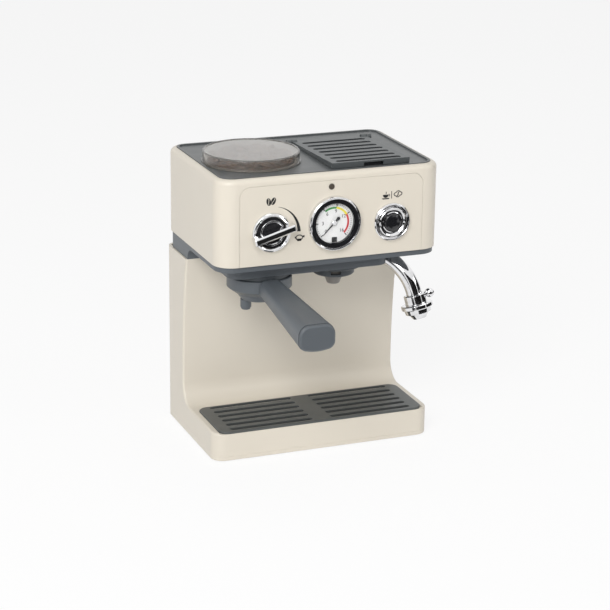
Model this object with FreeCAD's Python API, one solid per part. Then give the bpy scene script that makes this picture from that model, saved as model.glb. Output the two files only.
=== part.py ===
"""Toy coffee maker with a bean hopper, a pressure gauge, a portafilter and a steam wand.

Millimetres. X runs to the right, Y to the back and Z up. The floor is z = 0, x = 0 is the
middle of the machine and y = 0 is the middle of the head, front to back.
"""
import FreeCAD, Part
import math
import os

V = FreeCAD.Vector

# Head: the cream cover with its grey underside
WIDTH = 214.0
HEAD_DEPTH = 148.0
HEAD_BOTTOM = 187.7
HEAD_HEIGHT = 79.3
HEAD_FRONT_ROUND = 18.0
HEAD_REAR_ROUND = 16.0
REAR_ROUND = 8.0
HEAD_TOP_ROUND = 5.0
SHELL_WALL = 2.5
SEAM = 0.15
HALF = WIDTH / 2
FRONT = -HEAD_DEPTH / 2
BACK = HEAD_DEPTH / 2
HEAD_TOP = HEAD_BOTTOM + HEAD_HEIGHT
FRONT_INNER = FRONT + SHELL_WALL

# Front panel let into the cover
PANEL_SIDE = 19.5
PANEL_WIDTH = WIDTH - 2 * PANEL_SIDE
PANEL_HEIGHT = 72.3
PANEL_ROUND = 10.0
PANEL_LEDGE = 1.4
PANEL_LEDGE_THICK = 1.5
PANEL_BACK = FRONT_INNER + PANEL_LEDGE_THICK

# Top tray
TRAY_INSET = 5.6
TRAY_LIP_RISE = 0.6
TRAY_DROP = 0.6
TRAY_LIP_WIDTH = 2.4
TRAY_THICK = 2.4
TRAY_SKIRT = 9.0
TRAY_TOP = HEAD_TOP - TRAY_DROP

# Bean hopper
HOPPER_X = -53.0
HOPPER_Y = -8.0
HOPPER_RADIUS = 44.0
HOPPER_FLANGE_RADIUS = 45.2
HOPPER_FLANGE_THICK = 1.6
HOPPER_HEIGHT = 10.6
HOPPER_WALL = 1.6
BOWL_DEPTH = 26.0
BOWL_BOTTOM_RADIUS = 26.0
BEAN_GAP = 0.6
BEAN_RISE = 5.0
HOPPER_TOP = TRAY_TOP + HOPPER_HEIGHT

# Water tank and its ribbed lid
LID_LEFT = 4.5
LID_WIDTH = 75.0
LID_FRONT = -61.0
LID_LENGTH = 98.0
LID_FRONT_RISE = 5.4
LID_BACK_RISE = 2.6
LID_GAP = 0.3
LID_WALL = 2.0
LID_ROOF = 1.4
LID_GROOVES = 7
LID_GROOVE_FIRST = -54.5
LID_GROOVE_PITCH = 13.6
LID_GROOVE_WIDTH = 6.4
LID_GROOVE_DEPTH = 0.9
LID_GROOVE_END = 6.0
NOTCH_X = 44.5
NOTCH_WIDTH = 19.0
NOTCH_DEPTH = 3.0
HINGE_BEHIND = 2.6
HINGE_RISE = 1.5
EAR_RADIUS = 2.6
EAR_WIDTH = 5.0
PIN_RADIUS = 1.0
PIN_CLEARANCE = 0.05
BRACKET_WIDTH = 4.6
BRACKET_GAP = 0.4
TANK_SIDE_GAP = 7.5
TANK_FRONT_GAP = 8.0
TANK_BACK_GAP = 9.0
TANK_WALL = 1.8
TANK_DEPTH = 60.0
TANK_FLANGE = 2.0
TANK_FLANGE_THICK = 1.1
LID_RIGHT = LID_LEFT + LID_WIDTH
LID_BACK = LID_FRONT + LID_LENGTH
LID_BOTTOM = TRAY_TOP + LID_GAP
HINGE_Y = LID_BACK + HINGE_BEHIND
HINGE_Z = TRAY_TOP + HINGE_RISE
TANK_X0 = LID_LEFT + TANK_SIDE_GAP
TANK_X1 = LID_RIGHT - TANK_SIDE_GAP
TANK_Y0 = LID_FRONT + TANK_FRONT_GAP
TANK_Y1 = LID_BACK - TANK_BACK_GAP
TANK_BOTTOM = TRAY_TOP - TANK_DEPTH

# Grey chassis under the head
RIM_INSET = 1.5
RIM_HEIGHT = 5.1
CHASSIS_WALL = 2.4
FLOOR_RECESS = 1.2
BAND_HEIGHT = 16.2
ARCH_RADIUS = 11.0
BOX_LEFT_INSET = 17.0
BOX_RIGHT_INSET = 43.0
BOX_FRONT = -58.0
BOX_ROUND = 12.0
LIP_HEIGHT = 3.0
LIP_WALL = 1.6
LIP_GAP = 0.3
LIP_DROP = 2.0
CROWN_FRONT_GAP = 9.0
CROWN_BACK_GAP = 12.0
CROWN_SIDE_GAP = 37.0
BOX_LEFT = BOX_LEFT_INSET - HALF
BOX_RIGHT = HALF - BOX_RIGHT_INSET
RIM_BOTTOM = HEAD_BOTTOM - RIM_HEIGHT
BAND_BOTTOM = HEAD_BOTTOM - BAND_HEIGHT
FLOOR_BOTTOM = RIM_BOTTOM + FLOOR_RECESS

# Column and base of the cream body
COLUMN_FRONT_TOP = 17.2
COLUMN_FRONT_MID = 24.8
COLUMN_FRONT_LOW = 27.8
COLUMN_MID_Z = 118.0
COLUMN_LOW_Z = 46.0
BASE_TOP = 28.0
BASE_FRONT = -62.0
BASE_ROUND = 12.0
PLATE_BOTTOM = 1.0
PLATE_TOP = 4.8
PLATE_LIP = 1.8
FOOT_RADIUS = 9.0
FOOT_POCKET = 1.2
FOOT_STRIP = 5.0
FOOT_INSET_X = 18.0
FOOT_INSET_Y = 16.0
BODY_EDGE_ROUND = 2.2

# Drip grate and drip pan
GRATE_INSET = 6.3
GRATE_HALF = HALF - GRATE_INSET
GRATE_BACK = 5.8
GRATE_TOP = 29.0
GRATE_THICK = 2.0
GRATE_ROUND = 9.0
GRATE_GAP = 0.3
GRATE_RIB_DROP = 3.0
SLOT_ROWS = 6
SLOT_PITCH = 11.2
SLOT_WIDTH = 5.2
SLOT_BACK_Y = 0.8
SLOT_INNER = 8.6
SLOT_OUTER = 89.3
PAN_WALL = 1.6
PAN_GAP = 0.6
OPENING_EDGE = 2.8

# Group collar on the left, where the portafilter hangs
GROUP_X = -53.0
GROUP_Y = -31.0
COLLAR_RADIUS = 28.0
COLLAR_BORE = 24.4
COLLAR_DROP = 3.9
COLLAR_NECK = 18.0
RING_RADIUS = 29.8
RING_TOP_GAP = 0.4
RING_HEIGHT = 11.6
BOWL_STEP_RADIUS = 22.8
BOWL_STEP_DROP = 4.6
BOWL_FOOT_RADIUS = 17.6
BOWL_FOOT_DROP = 6.6
BOWL_WALL = 2.2
BAYONET_RADIUS = 24.0
BAYONET_RISE = 2.2
BASKET_GAP = 0.4
BASKET_WALL = 1.0
SPOUT_SPACING = 25.8
SPOUT_RADIUS = 5.0
SPOUT_TIP_RADIUS = 4.3
SPOUT_LENGTH = 9.8
SPOUT_TIP = 2.2
SPOUT_BORE = 2.6
RING_TOP = BAND_BOTTOM - COLLAR_DROP - RING_TOP_GAP
RING_BOTTOM = RING_TOP - RING_HEIGHT
BOWL_FOOT_Z = RING_BOTTOM - BOWL_STEP_DROP - BOWL_FOOT_DROP

# Portafilter handle: sections are width, height and height of the middle
HANDLE_ROOT_Y = -58.5
HANDLE_ROOT_Z = 161.0
HANDLE_ROOT_WIDTH = 21.4
HANDLE_ROOT_HEIGHT = 16.8
HANDLE_END_Y = -167.0
HANDLE_END_Z = 149.6
HANDLE_END_SHIFT = 1.5
HANDLE_END_WIDTH = 33.2
HANDLE_END_HEIGHT = 24.2
CAP_LENGTH = 3.6
CAP_SEAM = 0.6
SOCKET_RADIUS = 6.5
TENON_RADIUS = 6.45
TENON_LENGTH = 20.0

# Brew head in the middle
BREW_X = 19.6
BREW_Y = -31.0
BREW_DISC_RADIUS = 26.5
BREW_DISC_DROP = 2.6
BREW_RING_RADIUS = 19.2
BREW_RING_DROP = 10.2
BREW_BORE = 15.4
BREW_NOTCHES = 3
BREW_NOTCH_WIDTH = 9.0
NOZZLE_TOP_RADIUS = 9.0
NOZZLE_TIP_RADIUS = 5.4
NOZZLE_TIP_Z = 151.0
NOZZLE_BORE = 3.2

# Steam wand: a ball under the head, a bent tube and a tip
BALL_X = 67.0
BALL_Y = -31.4
BALL_Z = 173.6
BALL_RADIUS = 9.2
STUB_RADIUS = 4.6
STUB_TOP = 190.5
SOCKET_OUTER = 12.4
SOCKET_GAP = 0.3
SOCKET_RISE = 4.9
WAND_RADIUS = 7.3
WAND_HEADING = 39.7
WAND_START_SLOPE = 22.0
WAND_END_SLOPE = 73.6
WAND_LEAD = 9.2
WAND_BEND = 45.4
WAND_STRAIGHT = 4.0
TIP_COLLAR_RADIUS = 10.2
TIP_COLLAR_LENGTH = 9.0
TIP_FLANGE_RADIUS = 14.8
TIP_FLANGE_THICK = 4.6
TIP_STEP_RADIUS = 12.8
TIP_STEP_LENGTH = 4.2
TIP_CONE_TOP = 9.8
TIP_CONE_END = 6.4
TIP_CONE_LENGTH = 5.2
TIP_BORE = 2.4
SIDE_KNOB_RADIUS = 4.4
SIDE_KNOB_REACH = 14.0
SIDE_STEM_RADIUS = 2.0
WAND_NOTCH = 13.6

# Dose knob
KNOB_X = -57.8
KNOB_Z = 217.5
KNOB_BEZEL_RADIUS = 18.0
KNOB_BEZEL_INNER = 14.4
KNOB_BEZEL_RISE = 3.2
KNOB_RADIUS = 14.0
KNOB_FACE = 2.2
KNOB_INNER_RADIUS = 10.8
KNOB_BAR_LENGTH = 39.6
KNOB_BAR_WIDTH = 6.4
KNOB_BAR_FRONT = 12.4
KNOB_BAR_GAP = 0.6
KNOB_BAR_ANGLE = 16.0
KNOB_SHAFT_RADIUS = 3.0
SHAFT_CLEARANCE = 0.06
KNOB_SHAFT_BACK = 12.0
DETENT_RADIUS = 9.0
DETENT_THICK = 3.0

# Pressure gauge
GAUGE_X = 1.4
GAUGE_Z = 221.0
GAUGE_RADIUS = 24.9
GAUGE_BEZEL_WALL = 2.2
GAUGE_RISE = 5.0
GAUGE_RING_INNER = 18.4
GAUGE_RING_SINK = 2.0
DIAL_THICK = 0.8
DIAL_RECESS = 0.4
NEEDLE_LENGTH = 15.6
NEEDLE_TAIL = 7.6
NEEDLE_WIDTH = 1.3
NEEDLE_TAIL_WIDTH = 3.4
NEEDLE_THICK = 0.5
NEEDLE_GAP = 0.9
NEEDLE_ANGLE = 225.0
HUB_RADIUS = 2.4
ARBOR_RADIUS = 0.8
ARBOR_CLEARANCE = 0.05
LENS_THICK = 0.8
LENS_BACK = 3.2
GAUGE_CUP_DEPTH = 9.0
GAUGE_CUP_WALL = 1.8
GAUGE_INNER = GAUGE_RADIUS - GAUGE_BEZEL_WALL

# Push button
BUTTON_X = 57.5
BUTTON_Z = 217.0
BUTTON_BEZEL_RADIUS = 17.4
BUTTON_BEZEL_RISE = 3.0
BUTTON_COLLAR_RADIUS = 13.4
BUTTON_COLLAR_RISE = 4.4
BUTTON_RADIUS = 8.4
BUTTON_CLEARANCE = 0.3
BUTTON_PROUD = 6.6
BUTTON_DOME = 1.6
BUTTON_TRAVEL = 2.5
BUTTON_FLANGE_RADIUS = 9.8
BUTTON_FLANGE_THICK = 1.2
BUTTON_STEM_RADIUS = 3.0
SPRING_RADIUS = 4.6
SPRING_WIRE = 0.35
SPRING_TURNS = 5
SPRING_SEAT = 0.2

# Indicator, circuit board and switch
LED_X = -1.2
LED_Z = 254.3
LED_RADIUS = 2.7
LED_PROUD = 0.7
BOARD_GAP = 10.5
BOARD_THICK = 1.6
BOARD_POST = 2.5
BOARD_PIN = 1.4
BOARD_LEFT = -24.0
BOARD_RIGHT = 88.0
BOARD_LOW = 198.0
BOARD_HIGH = 257.5
CHIP_X = 30.0
CHIP_Z = 225.0
CHIP_SIZE = 12.0
CHIP_THICK = 1.4
SWITCH_SIZE = 8.0

# Column back: panel, battery box, speaker and power switch
BACK_PANEL_INSET = 19.0
PANEL_HALF = HALF - BACK_PANEL_INSET
BACK_LOW = 14.0
BACK_HIGH = 162.0
BACK_ROUND = 6.0
CELL_RADIUS = 7.2
CELL_LENGTH = 50.0
CELL_COUNT = 3
CELL_PITCH = 16.0
CELL_LOW_Z = 66.0
BOX_WALL = 1.8
DOOR_MARGIN = 8.0
LEDGE = 1.5
DOOR_SCREW_DROP = 4.2
BOX_BOSS = 3.6
SPEAKER_X = -58.0
SPEAKER_Z = 132.0
SPEAKER_RADIUS = 18.0
SPEAKER_DEPTH = 10.0
GRILLE_HOLE = 1.3
GRILLE_PITCH = 5.0
GRILLE_RINGS = 3
POWER_X = 58.0
POWER_Z = 128.0
POWER_TRAVEL = 4.0
POWER_TAB = 5.0
POWER_HEIGHT = 5.0
POWER_CLEARANCE = 0.3
POWER_PROUD = 1.2

# Pump and hoses
PUMP_X = 42.0
PUMP_Y = 46.0
PUMP_TOP = 166.0
PUMP_RADIUS = 13.0
PUMP_HEIGHT = 14.0
MOTOR_RADIUS = 11.0
MOTOR_HEIGHT = 28.0
BRACKET_HEIGHT = 8.0
HOSE_RADIUS = 2.6
HOSE_BORE = 1.6
HOSE_BEND = 8.0
HOSE_GAP = 0.4
HOSE_DROP = 18.0
HOSE_RISE = 14.0
HOSE_ASIDE = 16.0
HOSE_BEHIND = 20.0
NIPPLE_RADIUS = 1.5
NIPPLE_LENGTH = 6.0
OUTLET_Y = 20.0
HOSE_CREST = 196.0

# Screws
SCREW_HEAD_RADIUS = 2.8
SCREW_HEAD = 1.8
SCREW_RADIUS = 1.2
SCREW_LENGTH = 12.0
SCREW_CLEARANCE = 0.15
BOSS_RADIUS = 4.5
BOSS_INSET = 6.8
HEAD_BOSS_INSET = 26.0
PLATE_BOSS_INSETS = (59.0, 36.0)
CROWN_BOSS_INSETS = (40.0, 16.0)
BOSS_X = HALF - BOSS_INSET
HEAD_BOSS_Y = BACK - HEAD_BOSS_INSET
PLATE_BOSS_Y = tuple(BACK - inset for inset in PLATE_BOSS_INSETS)
CROWN_BOSS_Y = tuple(BACK - inset for inset in CROWN_BOSS_INSETS)


def export(name, shape):
    """Write one sub-part to parts/NAME.step."""
    if not shape.isValid():
        print("invalid shape:", name)
    shape.exportStep(os.path.join("parts", name + ".step"))


def block(x0, x1, y0, y1, z0, z1):
    """Box between two corners."""
    return Part.makeBox(x1 - x0, y1 - y0, z1 - z0, V(x0, y0, z0))


def disc(radius, x, y, z0, z1):
    """Upright round bar."""
    return Part.makeCylinder(radius, z1 - z0, V(x, y, z0), V(0, 0, 1))


def bar(radius, x, z, y0, y1):
    """Round bar that runs from front to back."""
    return Part.makeCylinder(radius, y1 - y0, V(x, y0, z), V(0, 1, 0))


def corner_wire(a0, a1, b0, b1, radii, place):
    """Closed outline with rounded corners. radii go round from the low a, low b corner."""
    r00, r10, r11, r01 = radii
    k = 1 - math.sqrt(0.5)
    rounds = [
        ((a0, b0 + r00), (a0 + k * r00, b0 + k * r00), (a0 + r00, b0), r00),
        ((a1 - r10, b0), (a1 - k * r10, b0 + k * r10), (a1, b0 + r10), r10),
        ((a1, b1 - r11), (a1 - k * r11, b1 - k * r11), (a1 - r11, b1), r11),
        ((a0 + r01, b1), (a0 + k * r01, b1 - k * r01), (a0, b1 - r01), r01),
    ]
    edges = []
    for i in range(4):
        start, middle, end, radius = rounds[i]
        if radius > 0:
            edges.append(Part.Arc(place(*start), place(*middle), place(*end)).toShape())
        edges.append(Part.makeLine(place(*end), place(*rounds[(i + 1) % 4][0])))
    return Part.Wire(edges)


def slab(x0, x1, y0, y1, z0, z1, front_round, back_round):
    """Flat slab whose upright corners are rounded."""
    radii = (front_round, front_round, back_round, back_round)
    wire = corner_wire(x0, x1, y0, y1, radii, lambda a, b: V(a, b, z0))
    return Part.Face(wire).extrude(V(0, 0, z1 - z0))


def front_plate(x0, x1, z0, z1, y0, y1, low_round, high_round):
    """Upright plate that faces the front, with rounded corners."""
    radii = (low_round, low_round, high_round, high_round)
    wire = corner_wire(x0, x1, z0, z1, radii, lambda a, b: V(a, y0, b))
    return Part.Face(wire).extrude(V(0, y1 - y0, 0))


def turned(points, x, y):
    """Solid turned about an upright axis from (radius, height) points."""
    spots = [V(x + r, y, z) for r, z in points]
    wire = Part.makePolygon(spots + [spots[0]])
    return Part.Face(wire).revolve(V(x, y, 0), V(0, 0, 1), 360)


def turned_front(points, x, z):
    """Solid turned about a front-to-back axis from (radius, y) points."""
    spots = [V(x + r, y, z) for r, y in points]
    wire = Part.makePolygon(spots + [spots[0]])
    return Part.Face(wire).revolve(V(x, 0, z), V(0, 1, 0), 360)


def screw(x, y, z, up):
    """Cross-head screw whose head bears at z and whose shank runs up or down from there."""
    way = 1 if up else -1
    head = Part.makeCylinder(SCREW_HEAD_RADIUS, SCREW_HEAD, V(x, y, z), V(0, 0, -way))
    shank = Part.makeCylinder(SCREW_RADIUS, SCREW_LENGTH, V(x, y, z), V(0, 0, way))
    tip = V(x, y, z - way * SCREW_HEAD)
    cross = Part.makeBox(3.2, 0.7, 0.8, tip + V(-1.6, -0.35, -0.4))
    cross = cross.fuse(Part.makeBox(0.7, 3.2, 0.8, tip + V(-0.35, -1.6, -0.4)))
    return head.fuse(shank).cut(cross)


def head_outline(inset, z0, z1):
    """Slab with the head's own outline, drawn in by an inset."""
    front = HEAD_FRONT_ROUND - inset
    back = max(HEAD_REAR_ROUND - inset, 1.0)
    return slab(-HALF + inset, HALF - inset, FRONT + inset, BACK - inset, z0, z1, front, back)


def head_bosses():
    """Places of the four screws that hold the head cover to the chassis."""
    return [(side * BOSS_X, y) for side in (-1, 1) for y in (-HEAD_BOSS_Y, HEAD_BOSS_Y)]


def plate_bosses():
    """Places of the four screws that hold the base plate to the body shell."""
    return [(side * BOSS_X, y) for side in (-1, 1) for y in PLATE_BOSS_Y]


def crown_bosses():
    """Places of the four screws that hold the chassis to the top of the body shell."""
    return [(side * BOSS_X, y) for side in (-1, 1) for y in CROWN_BOSS_Y]


def make_head_cover():
    outer = head_outline(0, HEAD_BOTTOM, HEAD_TOP)
    top_edges = [e for e in outer.Edges if min(v.Z for v in e.Vertexes) > HEAD_TOP - 0.01]
    outer = outer.makeFillet(HEAD_TOP_ROUND, top_edges)
    roof = HEAD_TOP - SHELL_WALL
    cover = outer.cut(head_outline(SHELL_WALL, HEAD_BOTTOM - 1, roof))
    cover = cover.cut(head_outline(TRAY_INSET, roof - 1, HEAD_TOP + 1))
    half = PANEL_WIDTH / 2 + SEAM
    high = HEAD_BOTTOM + PANEL_HEIGHT + SEAM
    notch = front_plate(-half, half, HEAD_BOTTOM - 1, high, FRONT - 1, FRONT_INNER + 0.01,
                        0, PANEL_ROUND)
    cover = cover.cut(notch)
    for x, y in head_bosses():
        boss = disc(BOSS_RADIUS, x, y, HEAD_BOTTOM, HEAD_TOP - TRAY_SKIRT - 0.5)
        cover = cover.fuse(boss.common(outer))
    for x, y in head_bosses():
        bore = SCREW_RADIUS + SCREW_CLEARANCE
        cover = cover.cut(disc(bore, x, y, HEAD_BOTTOM - 1, HEAD_BOTTOM + SCREW_LENGTH + 2))
    return cover.removeSplitter()


def make_front_panel():
    half = PANEL_WIDTH / 2
    high = HEAD_BOTTOM + PANEL_HEIGHT
    panel = front_plate(-half, half, HEAD_BOTTOM, high, FRONT, FRONT_INNER, 0, PANEL_ROUND)
    ledge = front_plate(-half - PANEL_LEDGE, half + PANEL_LEDGE, HEAD_BOTTOM, high + PANEL_LEDGE,
                        FRONT_INNER, PANEL_BACK, 0, PANEL_ROUND + PANEL_LEDGE)
    panel = panel.fuse(ledge)
    bores = [
        (KNOB_X, KNOB_Z, KNOB_SHAFT_RADIUS + SHAFT_CLEARANCE),
        (GAUGE_X, GAUGE_Z, GAUGE_INNER - 1.0),
        (BUTTON_X, BUTTON_Z, BUTTON_FLANGE_RADIUS + BUTTON_CLEARANCE),
        (LED_X, LED_Z, LED_RADIUS + SEAM),
    ]
    for x, z, radius in bores:
        panel = panel.cut(bar(radius, x, z, FRONT - 1, PANEL_BACK + 1))
    for x, z in board_holes():
        panel = panel.fuse(bar(BOARD_POST, x, z, PANEL_BACK, board_front()))
        panel = panel.fuse(bar(BOARD_PIN, x, z, PANEL_BACK, board_front() + BOARD_THICK + 1))
    return panel.removeSplitter()


def make_top_tray():
    inset = TRAY_INSET + SEAM
    roof = HEAD_TOP - SHELL_WALL
    tray = head_outline(inset, HEAD_TOP - TRAY_SKIRT, HEAD_TOP + TRAY_LIP_RISE)
    tray = tray.cut(head_outline(inset + TRAY_LIP_WIDTH, TRAY_TOP, HEAD_TOP + 5))
    tray = tray.cut(head_outline(inset + TRAY_LIP_WIDTH, HEAD_TOP - TRAY_SKIRT - 1,
                                 TRAY_TOP - TRAY_THICK))
    flange = head_outline(SHELL_WALL + 1.0, roof - 2.0, roof)
    flange = flange.cut(head_outline(inset + 0.5, roof - 3.0, roof + 1.0))
    for x, y in head_bosses():
        flange = flange.cut(disc(BOSS_RADIUS + LIP_GAP, x, y, roof - 3.0, roof + 1.0))
    tray = tray.fuse(flange)
    tray = tray.cut(disc(HOPPER_RADIUS - HOPPER_WALL - 1.0, HOPPER_X, HOPPER_Y,
                         HEAD_TOP - 20, HEAD_TOP + 5))
    tray = tray.cut(block(TANK_X0 - SEAM, TANK_X1 + SEAM, TANK_Y0 - SEAM, TANK_Y1 + SEAM,
                          HEAD_TOP - 20, HEAD_TOP + 5))
    reach = TANK_FLANGE + SEAM
    tray = tray.cut(block(TANK_X0 - reach, TANK_X1 + reach, TANK_Y0 - reach, TANK_Y1 + reach,
                          TRAY_TOP - TANK_FLANGE_THICK, HEAD_TOP + 5))
    for x0 in (LID_LEFT, LID_RIGHT - EAR_WIDTH):
        pocket = EAR_RADIUS + BRACKET_GAP
        tray = tray.cut(block(x0 - BRACKET_GAP, x0 + EAR_WIDTH + BRACKET_GAP,
                              HINGE_Y - pocket, HINGE_Y + pocket, TRAY_TOP - 1.6, HEAD_TOP + 5))
    for x0 in (LID_LEFT - BRACKET_GAP - BRACKET_WIDTH, LID_RIGHT + BRACKET_GAP):
        x1 = x0 + BRACKET_WIDTH
        cheek = block(x0, x1, HINGE_Y - EAR_RADIUS, HINGE_Y + EAR_RADIUS,
                      TRAY_TOP - 0.5, HINGE_Z)
        crown = Part.makeCylinder(EAR_RADIUS, BRACKET_WIDTH, V(x0, HINGE_Y, HINGE_Z), V(1, 0, 0))
        crown = crown.common(block(x0, x1, HINGE_Y - 9, HINGE_Y + 9, TRAY_TOP - 0.5, HEAD_TOP + 9))
        tray = tray.fuse(cheek.fuse(crown))
        hole = Part.makeCylinder(PIN_RADIUS, BRACKET_WIDTH + 2, V(x0 - 1, HINGE_Y, HINGE_Z),
                                 V(1, 0, 0))
        tray = tray.cut(hole)
    return tray.removeSplitter()


def make_hopper_bowl():
    rim = HOPPER_RADIUS - HOPPER_WALL - 0.4
    neck = HOPPER_RADIUS - HOPPER_WALL - 1.0 - SEAM
    low = TRAY_TOP - BOWL_DEPTH
    wall = HOPPER_WALL
    points = [
        (0.01, low), (BOWL_BOTTOM_RADIUS, low), (neck, TRAY_TOP - 4.0), (neck, TRAY_TOP),
        (rim, TRAY_TOP), (rim, TRAY_TOP + 1.2), (neck - wall, TRAY_TOP + 1.2),
        (neck - wall, TRAY_TOP - 4.0), (BOWL_BOTTOM_RADIUS - wall, low + wall),
        (0.01, low + wall),
    ]
    bowl = turned(points, HOPPER_X, HOPPER_Y)
    return bowl.fuse(disc(2.0, HOPPER_X, HOPPER_Y, low, low + wall)).removeSplitter()


def make_bean_bed():
    wall = HOPPER_WALL
    neck = HOPPER_RADIUS - HOPPER_WALL - 1.0 - SEAM - wall - BEAN_GAP
    low = TRAY_TOP - BOWL_DEPTH + wall + BEAN_GAP
    high = TRAY_TOP + BEAN_RISE
    points = [
        (0.01, low), (BOWL_BOTTOM_RADIUS - wall - BEAN_GAP, low), (neck, TRAY_TOP - 4.0),
        (neck, high - 1.6), (neck - 6.0, high - 0.5), (0.01, high),
    ]
    bed = turned(points, HOPPER_X, HOPPER_Y)
    return bed.fuse(disc(2.0, HOPPER_X, HOPPER_Y, low, high - 0.5)).removeSplitter()


def make_hopper_cover():
    low = TRAY_TOP
    shell = disc(HOPPER_RADIUS, HOPPER_X, HOPPER_Y, low, HOPPER_TOP)
    crown = [e for e in shell.Edges if e.BoundBox.ZMin > HOPPER_TOP - 0.01]
    shell = shell.makeFillet(1.4, crown)
    shell = shell.fuse(disc(HOPPER_FLANGE_RADIUS, HOPPER_X, HOPPER_Y, low,
                            low + HOPPER_FLANGE_THICK))
    hollow = disc(HOPPER_RADIUS - HOPPER_WALL, HOPPER_X, HOPPER_Y, low - 1,
                  HOPPER_TOP - HOPPER_WALL)
    dish = disc(HOPPER_RADIUS - 2.4, HOPPER_X, HOPPER_Y, HOPPER_TOP - 0.5, HOPPER_TOP + 1)
    return shell.cut(hollow).cut(dish).removeSplitter()


def lid_wedge(inset, low, lift):
    """Wedge with the lid's outline: its top rises to the front. lift raises or sinks the top."""
    y0 = LID_FRONT + inset
    y1 = LID_BACK - inset
    slope = (LID_FRONT_RISE - LID_BACK_RISE) / LID_LENGTH
    high0 = TRAY_TOP + LID_FRONT_RISE - slope * inset + lift
    high1 = TRAY_TOP + LID_BACK_RISE + slope * inset + lift
    x0 = LID_LEFT + inset
    spots = [V(x0, y0, low), V(x0, y1, low), V(x0, y1, high1), V(x0, y0, high0)]
    face = Part.Face(Part.makePolygon(spots + [spots[0]]))
    return face.extrude(V(LID_WIDTH - 2 * inset, 0, 0))


def make_tank_lid():
    lid = lid_wedge(0, LID_BOTTOM, 0)
    lid = lid.cut(lid_wedge(LID_WALL, LID_BOTTOM - 1, -LID_ROOF))
    slope = (LID_FRONT_RISE - LID_BACK_RISE) / LID_LENGTH
    for i in range(LID_GROOVES):
        y = LID_GROOVE_FIRST + i * LID_GROOVE_PITCH
        top = TRAY_TOP + LID_FRONT_RISE - slope * (y - LID_FRONT)
        half = LID_GROOVE_WIDTH / 2
        x0 = LID_LEFT + LID_GROOVE_END + half
        x1 = LID_RIGHT - LID_GROOVE_END - half
        groove = block(x0, x1, y - half, y + half, top - LID_GROOVE_DEPTH, top + 2)
        for x in (x0, x1):
            groove = groove.fuse(disc(half, x, y, top - LID_GROOVE_DEPTH, top + 2))
        lid = lid.cut(groove)
    half = NOTCH_WIDTH / 2
    lid = lid.cut(block(NOTCH_X - half, NOTCH_X + half, LID_FRONT - 1, LID_FRONT + NOTCH_DEPTH,
                        LID_BOTTOM - 1, TRAY_TOP + LID_FRONT_RISE - 1.6))
    back_wall = block(NOTCH_X - half, NOTCH_X + half, LID_FRONT + NOTCH_DEPTH,
                      LID_FRONT + NOTCH_DEPTH + 1.6, LID_BOTTOM,
                      TRAY_TOP + LID_FRONT_RISE - 1.2)
    lid = lid.fuse(back_wall)
    for x0 in (LID_LEFT, LID_RIGHT - EAR_WIDTH):
        ear = Part.makeCylinder(EAR_RADIUS, EAR_WIDTH, V(x0, HINGE_Y, HINGE_Z), V(1, 0, 0))
        web = block(x0, x0 + EAR_WIDTH, LID_BACK - 0.5, HINGE_Y, LID_BOTTOM,
                    HINGE_Z + EAR_RADIUS - 1.6)
        lid = lid.fuse(ear.fuse(web))
    for x0 in (LID_LEFT, LID_RIGHT - EAR_WIDTH):
        hole = Part.makeCylinder(PIN_RADIUS + PIN_CLEARANCE, EAR_WIDTH + 2,
                                 V(x0 - 1, HINGE_Y, HINGE_Z), V(1, 0, 0))
        lid = lid.cut(hole)
    return lid.removeSplitter()


def make_lid_hinge_pins():
    length = BRACKET_WIDTH + BRACKET_GAP + EAR_WIDTH - 0.6
    left = Part.makeCylinder(PIN_RADIUS, length,
                             V(LID_LEFT - BRACKET_GAP - BRACKET_WIDTH, HINGE_Y, HINGE_Z),
                             V(1, 0, 0))
    right = Part.makeCylinder(PIN_RADIUS, length,
                              V(LID_RIGHT + BRACKET_GAP + BRACKET_WIDTH, HINGE_Y, HINGE_Z),
                              V(-1, 0, 0))
    return Part.makeCompound([left, right])


def make_water_tank():
    tank = block(TANK_X0, TANK_X1, TANK_Y0, TANK_Y1, TANK_BOTTOM, TRAY_TOP)
    reach = TANK_FLANGE
    flange = block(TANK_X0 - reach, TANK_X1 + reach, TANK_Y0 - reach, TANK_Y1 + reach,
                   TRAY_TOP - TANK_FLANGE_THICK, TRAY_TOP)
    tank = tank.fuse(flange)
    wall = TANK_WALL
    tank = tank.cut(block(TANK_X0 + wall, TANK_X1 - wall, TANK_Y0 + wall, TANK_Y1 - wall,
                          TANK_BOTTOM + wall, TRAY_TOP + 1))
    nipple = disc(NIPPLE_RADIUS, PUMP_X, OUTLET_Y, TANK_BOTTOM - NIPPLE_LENGTH, TANK_BOTTOM)
    return tank.fuse(nipple).removeSplitter()


def chassis_outer():
    """Rim, rear band, concave arch and the box that hangs under the floor."""
    rim = head_outline(RIM_INSET, RIM_BOTTOM, HEAD_BOTTOM)
    side = HALF - RIM_INSET
    band = slab(-side, side, COLUMN_FRONT_TOP, BACK - RIM_INSET, BAND_BOTTOM, HEAD_BOTTOM,
                0, HEAD_REAR_ROUND - RIM_INSET)
    drop = RIM_BOTTOM - BAND_BOTTOM
    reach = max(ARCH_RADIUS, drop)
    arch = block(-side, side, COLUMN_FRONT_TOP - reach, COLUMN_FRONT_TOP, BAND_BOTTOM, RIM_BOTTOM)
    hollow = Part.makeCylinder(reach, 2 * side + 2, V(-side - 1, COLUMN_FRONT_TOP - reach,
                                                      BAND_BOTTOM), V(1, 0, 0))
    box = slab(BOX_LEFT, BOX_RIGHT, BOX_FRONT, COLUMN_FRONT_TOP + 1, BAND_BOTTOM, RIM_BOTTOM,
               BOX_ROUND, 0)
    outer = rim.fuse(band).fuse(arch.cut(hollow)).fuse(box)
    return outer.cut(disc(WAND_NOTCH, BALL_X, BALL_Y, BAND_BOTTOM - 1, FLOOR_BOTTOM))


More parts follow.
